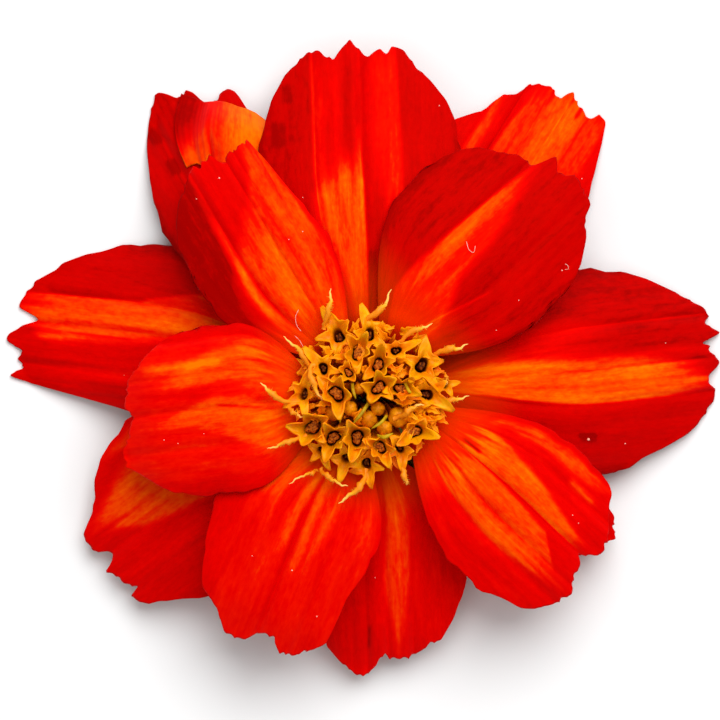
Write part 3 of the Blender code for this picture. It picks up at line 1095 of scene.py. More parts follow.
            Flush(((0.1, -0.33, -1.2), (1.1, -0.36, -1.2)), 0.07, 0.03, 0.1),
        ),
        (
            Streak(-0.06, -0.06, 0.45, 1.0, 0.018, -0.28), Streak(0.38, 0.38, 0.5, 1.0, 0.012, 0.22),
            Streak(0.22, 0.2, 0.2, 0.5, 0.03, 0.15), Streak(-0.2, -0.2, 0.3, 0.9, 0.02, -0.12),
            # The short dark streak at -0.66 is a small painted shadow round the pale grain that lies on this
            # petal.
            Streak(-0.66, -0.66, 0.5, 0.56, 0.035, -0.3),
        ),
        (Crease(0.38, 0.35, 0.05), Crease(-0.06, 0.4, 0.045), Crease(-0.37, 0.4, 0.045)),
    ),
    RayPetal(
        "petal_08_upper_right",
        Outline(
            61, 58.5, 30.8, 6.8, 7.1, 0.7,
            (
                (-1, 7.5), (-0.9, 4.9), (-0.78, 2.2), (-0.69, 0.4), (-0.58, 0), (-0.47, 0.9), (-0.35, 0.4),
                (-0.28, 0.2), (-0.17, -0.4), (-0.11, 0.1), (-0.08, 0.8), (0.09, 0.1), (0.16, 0.5),
                (0.28, 0.6), (0.36, 1.1), (0.38, 1.9), (0.44, 2.6), (0.54, 2.9), (0.6, 3.8), (0.66, 5.1),
                (0.9, 7), (1, 9),
            ),
        ),
        Layer.LOW, 0.5, 0.3,
        (
            Flush(
                ((0.2, 0.35, -0.75), (0.8, 0.3, -0.74), (0.9, 0.24, -0.72), (1.1, 0.2, -0.68)),
                0.31, 0.025, 0.05,
            ),
            Flush(((0.3, 0.0, -0.45), (1.1, -0.04, -0.44)), 0.16, 0.06, 0.05),
            Flush(((0.6, 0.62, 0.48), (0.93, 0.6, 0.5)), 0.36, 0.04, 0.04),
            Flush(((0.97, 0.3, 0.0), (1.1, 0.3, 0.0)), -0.3, 0.04, 0.05),
        ),
        (
            Streak(0.36, 0.36, 0.5, 1.0, 0.02, -0.2), Streak(-0.35, -0.35, 0.94, 1.04, 0.02, -0.5),
            Streak(0.05, 0.05, 0.5, 1.0, 0.012, -0.12), Streak(-0.5, -0.48, 0.5, 1.0, 0.015, -0.12),
            Streak(-0.2, -0.2, 0.5, 1.0, 0.012, 0.12),
        ),
        (
            Crease(0.35, 0.5, 0.05), Crease(0.05, 0.3, 0.04), Crease(-0.2, 0.3, 0.04),
            Crease(-0.45, 0.35, 0.045), Crease(0.62, 0.35, 0.05),
        ),
    ),
    RayPetal(
        "petal_09_upper_left",
        Outline(
            119, 119.1, 30.0, 8.4, 7.0, 0.6,
            (
                (-1, 12), (-0.7, 9), (-0.41, 7.5), (-0.39, 1.9), (-0.34, 1.3), (-0.22, 1.3), (-0.05, 1.7),
                (0.03, 1.2), (0.06, 0.1), (0.12, -0.5), (0.22, -0.2), (0.28, -0.7), (0.38, -1.5),
                (0.46, -1.1), (0.65, 1), (0.76, 2.6), (0.95, 6.6), (1, 9.5),
            ),
        ),
        Layer.MIDDLE, 1.3, 0.1,
        (
            Flush(((0.0, 0.5, -0.5), (0.6, 0.3, -0.3)), 0.3),
            Flush(((0.5, 0.95, 0.55), (0.9, 0.85, 0.5)), 0.07),
        ),
        (
            Streak(0.6, 0.6, 0.4, 0.95, 0.02, -0.1), Streak(0.62, 0.62, 0.9, 0.96, 0.05, -0.3),
            Streak(0.6, 0.6, 0.78, 0.84, 0.05, -0.3),
        ),
        (Crease(0.55, 0.35, 0.05), Crease(0.2, 0.35, 0.05)),
    ),
    RayPetal(
        "petal_10_left",
        Outline(
            164, 171.4, 31.1, 5.1, 9.8, 0.52,
            (
                (-1, 11), (-0.95, 8.5), (-0.88, 7), (-0.86, 5.9), (-0.74, 3.7), (-0.68, 3.3), (-0.55, 1.5),
                (-0.43, 0.8), (-0.31, 0.5), (-0.24, 2.4), (-0.18, 1.2), (-0.08, 0), (-0.02, -0.2),
                (0.06, 0.8), (0.14, 1.3), (0.25, 1.0), (0.36, 1.5), (0.54, 0.5), (0.58, 1.1), (0.7, 5.5),
                (0.84, 10.4), (1, 14),
            ),
        ),
        Layer.LOW, 2.0, 0.25,
        (
            Flush(
                (
                    (0.1, -0.3, -0.85), (0.35, -0.3, -0.7), (0.5, -0.2, -0.56), (0.6, -0.13, -0.5),
                    (0.75, -0.1, -0.48), (0.9, -0.08, -0.46), (1.0, -0.34, -0.44),
                ),
                0.44, 0.07, 0.012,
            ),
            Flush(((0.1, -0.48, -1.2), (1.1, -0.46, -1.2)), -0.13, 0.015, 0.1),
            Flush(((0.4, 0.45, 0.15), (0.78, 0.4, 0.2)), 0.14),
            Flush(((0.78, -0.04, -0.16), (0.9, -0.05, -0.16)), 0.24, 0.04, 0.02),
            Flush(((0.86, 1.0, -0.25), (1.1, 1.0, -0.25)), -0.08, 0.1, 0.03),
        ),
        (
            Streak(-0.15, -0.14, 0.6, 0.97, 0.014, -0.3), Streak(-0.3, -0.32, 0.4, 0.95, 0.03, 0.1),
            Streak(-0.24, -0.24, 0.5, 0.9, 0.012, -0.14),
        ),
        (Crease(-0.47, 0.6, 0.035), Crease(-0.2, 0.4, 0.045), Crease(0.3, 0.3, 0.08)),
    ),
    RayPetal(
        "petal_11_lower_left",
        Outline(
            -152, -144.9, 26.7, 7.0, 9.9, 0.5,
            (
                (-1, 9), (-0.96, 7.5), (-0.88, 5.4), (-0.76, 3.8), (-0.65, 3), (-0.52, 1.5), (-0.45, 0.3),
                (-0.34, -0.1), (-0.24, 0.3), (-0.22, 1.1), (-0.16, 1.4), (-0.1, 0.6), (-0.08, -0.3),
                (0.03, 0.5), (0.14, 0.6), (0.2, 0.9), (0.26, 1.2), (0.31, 0.4), (0.49, 0.9), (0.59, 2.3),
                (0.7, 3.8), (0.83, 5.1), (1, 8),
            ),
        ),
        Layer.MIDDLE, 0.6, 0.3,
        (
            Flush(
                (
                    (0.1, 0.0, -0.5), (0.45, -0.02, -0.3), (0.55, -0.08, -0.5), (0.66, -0.12, -0.76),
                    (0.76, -0.18, -0.66), (0.88, -0.32, -0.52), (0.98, -0.37, -0.45),
                ),
                0.42, 0.05, 0.08,
            ),
            Flush(((0.5, -0.82, -0.95), (0.8, -0.84, -0.95)), 0.36, 0.04, 0.05),
            Flush(((0.3, 1.2, 0.3), (1.1, 1.2, 0.2)), -0.08),
        ),
        (Streak(-0.35, -0.36, 0.55, 0.98, 0.02, -0.14), Streak(0.1, 0.1, 0.5, 0.95, 0.03, 0.08)),
        (Crease(-0.18, 0.4, 0.045), Crease(-0.56, 0.3, 0.06), Crease(0.28, 0.3, 0.06)),
    ),
    RayPetal(
        "petal_12_bottom",
        Outline(
            -83, -86.8, 22.5, 7.45, 5.6, 0.4,
            (
                (-1, 5), (-0.86, 1.6), (-0.62, -0.1), (-0.45, -0.9), (-0.3, -1.2), (-0.12, -0.1),
                (-0.04, 0.5), (0, 0.6), (0.06, 0.2), (0.1, 0.5), (0.14, 0.3), (0.25, 0.2), (0.53, 1.4),
                (0.64, 1.7), (0.8, 3.6), (0.92, 5.8), (1, 8.5),
            ),
        ),
        Layer.LOW, 0.7, 0.34,
        (
            Flush(
                (
                    (0.0, 0.4, 0.1), (0.2, 0.38, 0.08), (0.4, 0.33, 0.08), (0.6, 0.3, 0.03),
                    (0.7, 0.28, 0.05), (0.85, 0.25, 0.12), (0.92, 0.2, 0.1),
                ),
                0.3, 0.035, 0.05,
            ),
            Flush(((0.0, 0.6, -0.3), (0.28, 0.5, -0.2)), 0.16),
            Flush(((0.5, -0.12, -1.2), (1.1, -0.14, -1.2)), -0.05, 0.05, 0.1),
            Flush(((0.45, -0.2, -0.55), (0.66, -0.25, -0.5)), 0.18),
        ),
        (
            Streak(-0.2, -0.22, 0.82, 0.93, 0.035, -0.25), Streak(0.2, 0.2, 0.3, 0.7, 0.02, 0.12),
            Streak(0.9, 0.88, 0.35, 0.9, 0.08, 0.08),
        ),
        (Crease(0.05, 0.4, 0.045), Crease(0.34, 0.35, 0.05), Crease(-0.25, 0.35, 0.06)),
        0.5,
    ),
    RayPetal(
        "petal_13_lower_right_behind",
        Outline(
            -44, -33.8, 24.0, 5.35, 4.2, 0.5,
            ((-1, 9), (-0.6, 5), (-0.3, 2), (-0.1, 0.8), (0.1, 0.7), (0.3, 0), (0.6, 1.2), (1, 6)),
        ),
        Layer.LOW, 0.5, 0.3,
        (Flush(((0.0, 0.3, -0.3), (1.1, 0.25, -0.25)), 0.2),),
        (Streak(0.85, 0.85, 0.55, 1.05, 0.12, 0.25),),
        (Crease(0.1, 0.35, 0.06), Crease(-0.4, 0.3, 0.06)),
    ),
)


@dataclass(frozen=True)
class RolledLobe:
    """The end of a petal rolled back over its own face, so that its underside shows.

    Attributes:
        fold: Points of the fold seen from above, from left to right.
        edge: Points of the free edge seen from above, from left to right, teeth included.
        lift: How far the roll's crest stands above the petal.
        bulge: How far the left side bows outwards.
    """

    fold: Curve
    edge: Curve
    lift: float = 1.4
    bulge: float = 0.8

    COLUMNS = 90
    ROWS = 60
    CLEARANCE = 0.18
    SHEET_MAP_CORNER = 40

    def build(self, skins: Sequence[bpy.types.Material]) -> bpy.types.Object:
        """Build the rolled sheet.

        Args:
            skins: Materials of the face and of the underside.

        Returns:
            The finished piece, to be joined to its petal.
        """
        piece = grid_primitive("rolled_lobe", self.COLUMNS, self.ROWS)
        flat = points_of(piece.data)
        across, down = (flat[:, 0] + 1) / 2, (flat[:, 1] + 1) / 2
        top, bottom = self._along(self.fold, across), self._along(self.edge, across)
        spots = top + (bottom - top) * down[:, None]
        spots[:, 0] -= self.bulge * np.sin(math.pi * down) * (1 - across) ** 3
        spots[:, 0] -= 0.9 * (1 - smooth_step(across, 0.0, 0.18))
        height = smooth_curve(np.hypot(spots[:, 0], spots[:, 1]), Layer.MIDDLE.value) + self.CLEARANCE
        crest = np.sin(math.pi / 2 * np.minimum(1, down / 0.5)) - 0.35 * smooth_step(down, 0.5, 1.0)
        height = height + self.lift * crest * smooth_step(across, 0.0, 0.4)
        height = height - 0.35 * np.exp(-(((across - 0.36) / 0.05) ** 2)) * down
        height = height - 0.05 * np.sin(across * 60) * down
        set_points(piece.data, (np.column_stack((spots, height)) + AXIS) * MM)
        set_values(piece.data, "dye", self._dye(across, down))
        set_values(piece.data, "claw", np.zeros(len(flat)))
        set_sheet_map(piece.data, across * 7 + self.SHEET_MAP_CORNER, down * 6)
        for skin in reversed(skins):
            piece.data.materials.append(skin)
        thicken(piece, RayPetal.THICKNESS * MM, material_offset=1)
        smooth_shading(piece)
        return piece

    def _along(self, line: Curve, share: Points) -> Points:
        """Return points of a line at shares of its run from left to right."""
        knots = np.linspace(0, 1, len(line))
        return np.column_stack([np.interp(share, knots, [spot[axis] for spot in line]) for axis in (0, 1)])

    def _dye(self, across: Points, down: Points) -> Points:
        """Dye the underside red on the left and orange on the right, with painted shade along the crease and
        in a band beside it.

        Args:
            across: Share of the way from left to right.
            down: Share of the way from the fold to the free edge.

        Returns:
            How orange the skin is at each point.
        """
        feathered = across + 0.45 * down**2 + 0.02 * np.sin(across * 160)
        value = 0.7 * smooth_step(feathered, 0.1, 0.42) + 0.28 * smooth_step(across, 0.4, 0.8)
        # Painted shade: a dark line along the crease and a darker band beside it.
        crease = np.exp(-(((across - 0.3 - 0.04 * down) / 0.035) ** 2)) * smooth_step(down, 0.05, 0.25)
        shade = smooth_step(across, 0.3, 0.34) * (1 - smooth_step(across, 0.42, 0.6))
        return value - 0.22 * crease - 0.12 * shade


UPPER_LEFT_ROLL = RolledLobe(
    fold=(
        (-15.1, 25.75), (-14.6, 25.4), (-14.1, 24.95), (-13.5, 24.98), (-12.9, 25.02), (-12.3, 24.95),
        (-11.7, 24.75), (-11.1, 24.5), (-10.5, 24.35), (-9.75, 24.0), (-8.9, 23.35),
    ),
    edge=(
        (-14.6, 19.4), (-14.3, 19.75), (-14.0, 19.4), (-13.65, 20.5), (-13.1, 20.05), (-12.4, 19.5),
        (-11.9, 19.6), (-11.2, 19.3), (-10.4, 19.2), (-9.4, 19.2), (-8.4, 19.2),
    ),
)


# --------------------------------------------------------------------------- disc


class Stage(Enum):
    """How far a disc floret has opened."""

    OPEN = "open"
    CUPPED = "cupped"
    BUD = "bud"


@dataclass(frozen=True)
class Turning:
    """A piece drawn out of a circle ring by ring, then closed at its top.

    Attributes:
        sides: Sides of the circle.
        profile: Pairs of (radius, height) from the bottom up.
        closed: Whether the last ring is drawn in to a point.
    """

    sides: int
    profile: Curve
    closed: bool = False

    def build(self, name: str) -> bpy.types.Object:
        """Build the piece about the world's vertical axis, in millimetres drawn as metres.

        Args:
            name: Name of the piece.

        Returns:
            The new object.
        """
        deselect()
        radius, height = self.profile[0]
        bpy.ops.mesh.primitive_circle_add(vertices=self.sides, radius=radius, location=(0, 0, 0))
        piece = bpy.context.active_object
        piece.name = piece.data.name = name
        bpy.ops.object.mode_set(mode="EDIT")
        bpy.ops.mesh.select_all(action="SELECT")
        bpy.ops.transform.translate(value=(0, 0, height))
        for next_radius, next_height in self.profile[1:]:
            bpy.ops.mesh.extrude_region_move(TRANSFORM_OT_translate={"value": (0, 0, next_height - height)})
            scale = next_radius / radius
            bpy.ops.transform.resize(value=(scale, scale, 1), center_override=(0, 0, next_height))
            radius, height = next_radius, next_height
        if self.closed:
            bpy.ops.mesh.merge(type="CENTER")
        bpy.ops.mesh.select_all(action="SELECT")
        bpy.ops.mesh.normals_make_consistent(inside=False)
        bpy.ops.object.mode_set(mode="OBJECT")
        return piece


def ringed_tube(name: str, sides: int, rings: int) -> tuple[bpy.types.Object, Points, Points]:
    """Build a straight tube that is to be laid along a line.

    Args:
        name: Name of the piece.
        sides: Sides of the tube.
        rings: Rings along it.

    Returns:
        The tube, and the ring and the direction round the tube of each of its points.
    """
    radius, step = 0.1, 0.01
    piece = Turning(sides, [(radius, step * ring) for ring in range(rings)]).build(name)
    points = points_of(piece.data)
    return piece, np.round(points[:, 2] / step).astype(int), np.arctan2(points[:, 1], points[:, 0])


@dataclass(frozen=True)
class Corolla:
    """The five-lobed tube of a disc floret, with the anther column inside it.

    Attributes:
        rim: Radius of the hollow at the mouth.
        notch: Radius at which two lobes part.
        tip: Radius of a lobe's point.
        rise: How far the lobes climb above the rim.
        recurve: How far the lobe tips bend back down.
        column: Height of the anther column's top above the rim.
        column_radius: Radius of the anther column.
    """

    rim: float
    notch: float
    tip: float
    rise: float
    recurve: float
    column: float
    column_radius: float

    SIDES = 50
    LOBES = 5
    LOBE_ROWS = 8
    SHEET = 0.11
    STEP = 0.001
    PLEAT = 0.34
    GROOVE = 0.22
    GROOVE_DEGREES = 9
    BELLY = 0.10

    def build(
        self, name: str, skins: Sequence[bpy.types.Material], column_skin: bpy.types.Material
    ) -> bpy.types.Object:
        """Build the floret upright with the middle of its mouth at the origin.

        Args:
            name: Name of the piece.
            skins: Materials of the outside and of the inside.
            column_skin: Material of the anther column.

        Returns:
            The finished piece.
        """
        tube = [(0.24, -7.0), (0.32, -5.0), (0.42, -3.0), (0.5, -1.8), (0.55, -1.1)]
        mouth = [(self.rim * 0.9, -0.45), (self.rim, 0.0)]
        lobes = [(self.rim + 0.01 * row, self.STEP * row) for row in range(1, self.LOBE_ROWS + 1)]
        piece = Turning(self.SIDES, tube + mouth + lobes).build(name)
        set_points(piece.data, self._shape(points_of(piece.data)))
        for skin in skins:
            piece.data.materials.append(skin)
        thicken(piece, self.SHEET, offset=-1.0, material_offset=1)
        smooth_shading(piece)
        return join([piece, self._anthers(column_skin)], name)

    def _anthers(self, skin: bpy.types.Material) -> bpy.types.Object:
        """Build the column of five anthers, domed and grooved.

        Args:
            skin: Material of the column.

        Returns:
            The column.
        """
        wide, top = self.column_radius, self.column
        shaft = [(wide * 0.9, -1.6), (wide, top - 0.6), (wide, top - 0.2)]
        dome = [(wide * 0.72, top - 0.04), (wide * 0.4, top - 0.1)]
        column = Turning(20, shaft + dome, closed=True).build("column")
        points = points_of(column.data)
        around = np.arctan2(points[:, 1], points[:, 0])
        points[:, :2] *= (1 - 0.2 * (0.5 + 0.5 * np.cos(self.LOBES * around)))[:, None]
        points[:, 2] += np.where(points[:, 2] > top - 0.3, 0.09 * np.cos(3 * around), 0.0)
        set_points(column.data, points)
        column.data.materials.append(skin)
        smooth_shading(column)
        return column

    def _shape(self, points: Points) -> Points:
        """Draw the rings above the rim out into five pointed lobes.

        Args:
            points: Points of the plain turned tube.

        Returns:
            The points of the lobed one.
        """
        row = np.where(points[:, 2] > self.STEP / 2, np.round(points[:, 2] / self.STEP), 0)
        share = row / self.LOBE_ROWS
        around = np.degrees(np.arctan2(points[:, 1], points[:, 0]))
        half_cell = 180 / self.LOBES
        off = np.abs((around + half_cell) % (2 * half_cell) - half_cell)
        to_notch, to_tip = np.sin(np.radians(off)), np.sin(np.radians(half_cell - off))
        limit = math.sin(math.radians(half_cell)) / (to_notch / self.notch + to_tip / self.tip)
        limit = limit * (1 + self.BELLY * np.sin(np.radians(off / half_cell * 180)))
        on_lobe = self.rim + (limit - self.rim) * share
        radius = np.where(row > 0, on_lobe, np.hypot(points[:, 0], points[:, 1]))
        out = np.clip((radius - self.rim) / (self.tip - self.rim), 0, 1)
        fold = (off / half_cell) ** 1.5
        height = self.rise * np.sin(out * math.pi * 0.6) - self.recurve * out**3
        height = height + self.PLEAT * fold * share * (1 - out)
        height = height - self.GROOVE * np.exp(-((off / self.GROOVE_DEGREES) ** 2)) * out * (1 - 0.6 * out)
        height = np.where(row > 0, height, points[:, 2])
        return np.column_stack((heading_rows(around) * radius[:, None], height))


def heading_rows(degrees: Points) -> Points:
    """Return the flat unit vectors that point along many azimuths."""
    return np.column_stack((np.cos(np.radians(degrees)), np.sin(np.radians(degrees))))


OPEN_COROLLA = Corolla(rim=0.6, notch=0.8, tip=2.1, rise=0.5, recurve=0.45, column=-0.2, column_radius=0.3)
CUPPED_COROLLA = Corolla(
    rim=0.62, notch=0.74, tip=1.4, rise=1.05, recurve=0.0, column=0.28, column_radius=0.4,
)


@dataclass(frozen=True)
class ClosedBud:
    """A floret still closed: a rounded ovoid with five furrows that meet at its tip."""

    radius: float = 0.6
    height: float = 1.35

    SIDES = 30
    STEPS = 10
    FURROWS = 5

    def build(self, name: str, skin: bpy.types.Material) -> bpy.types.Object:
        """Build the bud upright with its top at the origin.

        Args:
            name: Name of the piece.
            skin: Material of the bud.

        Returns:
            The finished piece.
        """
        profile = [(0.24, -7.0), (0.3, -4.0), (0.36, -self.height - 0.9)]
        for step in range(self.STEPS):
            angle = math.pi * (0.14 + 0.82 * step / (self.STEPS - 1))
            rise = -self.height / 2 - self.height / 2 * math.cos(angle)
            profile.append((self.radius * math.sin(angle), rise))
        piece = Turning(self.SIDES, profile, closed=True).build(name)
        points = points_of(piece.data)
        around = np.arctan2(points[:, 1], points[:, 0])
        furrow = (0.5 + 0.5 * np.cos(self.FURROWS * around)) ** 10
        set_values(piece.data, "furrow", furrow * smooth_step(points[:, 2], -self.height, -0.3))
        depth = 0.2 * smooth_step(points[:, 2], -self.height, -0.1)
        points[:, :2] *= (1 - depth * furrow)[:, None]
        set_points(piece.data, points)
        piece.data.materials.append(skin)
        smooth_shading(piece)
        return piece


@dataclass(frozen=True)
class FloretPlace:
    """Where one disc floret stands on the dome and how it looks.

    Attributes:
        azimuth: Azimuth of its mouth.
        distance: Distance of its mouth from the axis.
        stage: How far it has opened.
        spin: Azimuth of one of its lobes.
        size: Scale of its mouth and lobes.
        lean: Share of the tube's own lean that the mouth takes.
    """

    azimuth: float
    distance: float
    stage: Stage
    spin: float = 0.0
    size: float = 1.0
    lean: float = 0.5


OPEN, CUPPED, BUD = Stage
FLORETS = (
    FloretPlace(118, 5.7, OPEN, 48, 1.2), FloretPlace(91, 5.1, OPEN, 33, 1.1),
    FloretPlace(60, 4.3, OPEN, 22, 0.85), FloretPlace(30, 5.0, OPEN, 13, 1.25),
    FloretPlace(1, 4.7, OPEN, -32, 1.1), FloretPlace(-39, 4.8, CUPPED, 62, 1.15),
    FloretPlace(-60, 5.0, OPEN, -84, 0.95), FloretPlace(-79, 4.4, CUPPED, 150, 1.05),
    FloretPlace(-93, 5.8, OPEN, -150, 1.0), FloretPlace(-110, 5.6, OPEN, 178, 1.0),
    FloretPlace(-131, 4.7, CUPPED, 108, 1.25), FloretPlace(-151, 5.5, CUPPED, -40, 1.4),
    FloretPlace(179, 5.6, OPEN, 140, 0.95), FloretPlace(150, 4.5, OPEN, 132, 0.95),
    FloretPlace(-131, 6.2, OPEN, 150, 0.8), FloretPlace(106, 3.7, CUPPED, 200, 1.15),
    FloretPlace(75, 2.6, CUPPED, 10, 1.1), FloretPlace(12, 2.6, CUPPED, 50, 1.1),
    FloretPlace(177, 2.8, CUPPED, 66, 1.35), FloretPlace(-107, 3.7, CUPPED, 40, 1.25),
    FloretPlace(134, 2.6, CUPPED, 20, 0.75), FloretPlace(-66, 3.0, BUD, 0, 1.1),
    FloretPlace(-37, 3.0, BUD, 20, 1.5), FloretPlace(-155, 3.5, BUD, 40, 1.15),
    FloretPlace(-147, 2.0, BUD, 10, 1.05), FloretPlace(-94, 2.0, BUD, 30, 1.2),
    FloretPlace(40, 0.95, CUPPED, 100, 1.2), FloretPlace(150, 1.1, BUD, 0, 0.8),
    FloretPlace(-60, 1.3, BUD, 50, 1.0), FloretPlace(8, 6.3, OPEN, -60, 0.65),
)


@dataclass(frozen=True)
class Style:
    """A style branch: a thick twig that swells into a tufted knot and thins to a pale point.

    Attributes:
        path: Points seen from above, about the axis.
        knot: Share of the length at which it swells.
        height: Height of its knot.
        bulk: Scale of its thickness.
    """

    path: tuple[tuple[float, float], ...]
    knot: float = 0.5
    height: float = 12.6
    bulk: float = 1.0


STYLES = (
    Style(((-3.9, 5.5), (-3.77, 6.1), (-3.45, 7.25), (-3.3, 8.1), (-3.35, 8.95)), 0.5, 12.5),
    Style(((-0.6, 5.7), (-0.3, 6.3), (0.8, 7.15), (1.3, 7.7), (1.75, 8.9)), 0.5, 12.3, 1.1),
    Style(((2.1, 4.1), (2.6, 4.6), (3.7, 5.45), (4.4, 5.6), (5.2, 6.05)), 0.55, 12.9, 1.0),
    Style(((5.0, 3.1), (5.6, 3.5), (6.6, 3.9), (7.3, 3.9), (8.2, 4.3)), 0.55, 12.2, 1.1),
    Style(((4.5, -0.9), (5.0, -0.65), (6.5, -0.45), (7.4, -0.3), (8.3, -0.05)), 0.58, 12.2, 0.95),
    Style(((2.4, -4.9), (2.55, -5.5), (2.8, -6.5), (3.1, -7.5)), 0.8, 12.2, 0.95),
    Style(
        ((-0.3, -6.1), (-0.5, -6.9), (-0.75, -7.5), (-1.4, -8.15), (-2.1, -8.6), (-2.6, -9.1)),
        0.45, 12.2, 1.15,
    ),
    Style(((-4.2, -6.1), (-3.9, -6.5), (-3.3, -6.95), (-2.6, -7.4), (-1.85, -7.6)), 0.42, 12.2, 0.9),
    Style(((-4.4, -6.2), (-4.9, -6.5), (-5.7, -6.75), (-6.8, -7.4)), 0.3, 11.8, 0.75),
    Style(((-5.3, -3.3), (-5.9, -3.6), (-6.95, -3.9), (-7.8, -4.25), (-8.6, -4.5)), 0.5, 12.6, 0.85),
    Style(((-5.9, -0.5), (-6.8, -0.6), (-8.0, -0.05), (-8.6, 0.5), (-9.2, 1.05)), 0.55, 12.6, 1.0),
    Style(((-4.5, 1.9), (-5.1, 2.4), (-5.7, 3.5), (-6.4, 4.2), (-7.3, 4.9)), 0.5, 12.7, 1.0),
    Style(((-4.6, 2.6), (-5.05, 2.2), (-4.85, 1.3), (-4.45, 0.3), (-4.0, -0.45)), 0.55, 13.3, 1.1),
    Style(((-6.9, -0.7), (-6.6, -1.3), (-6.1, -1.6), (-5.5, -1.95)), 0.4, 12.6, 0.9),
    Style(((1.9, -1.95), (2.8, -1.65), (3.6, -1.0), (4.5, -0.75)), 0.5, 13.4, 1.1),
    Style(((6.1, 2.0), (6.4, 1.5), (6.4, 0.85)), 0.4, 11.9, 0.6),
)


@dataclass(frozen=True)
class ChaffStrip:
    """A slender scale that bends over between the inner florets, seen from above as a thin line."""

    path: tuple[tuple[float, float], ...]
    width: float = 0.2


CHAFF = (
    ChaffStrip(((-0.1, -0.6), (-0.7, -1.5), (-1.5, -2.5)), 0.26),
    ChaffStrip(((1.4, -1.7), (0.9, -2.3), (0.1, -2.8)), 0.24),
    ChaffStrip(((-1.5, 1.0), (-1.4, 0.3), (-1.2, -0.3)), 0.24),
    ChaffStrip(((-3.0, -1.0), (-2.6, -1.6), (-2.5, -2.3)), 0.2),
    ChaffStrip(((0.6, -3.4), (1.2, -3.5), (1.9, -3.2)), 0.3),
    ChaffStrip(((2.9, 1.1), (3.2, 0.4), (3.5, 0.1)), 0.24),
)


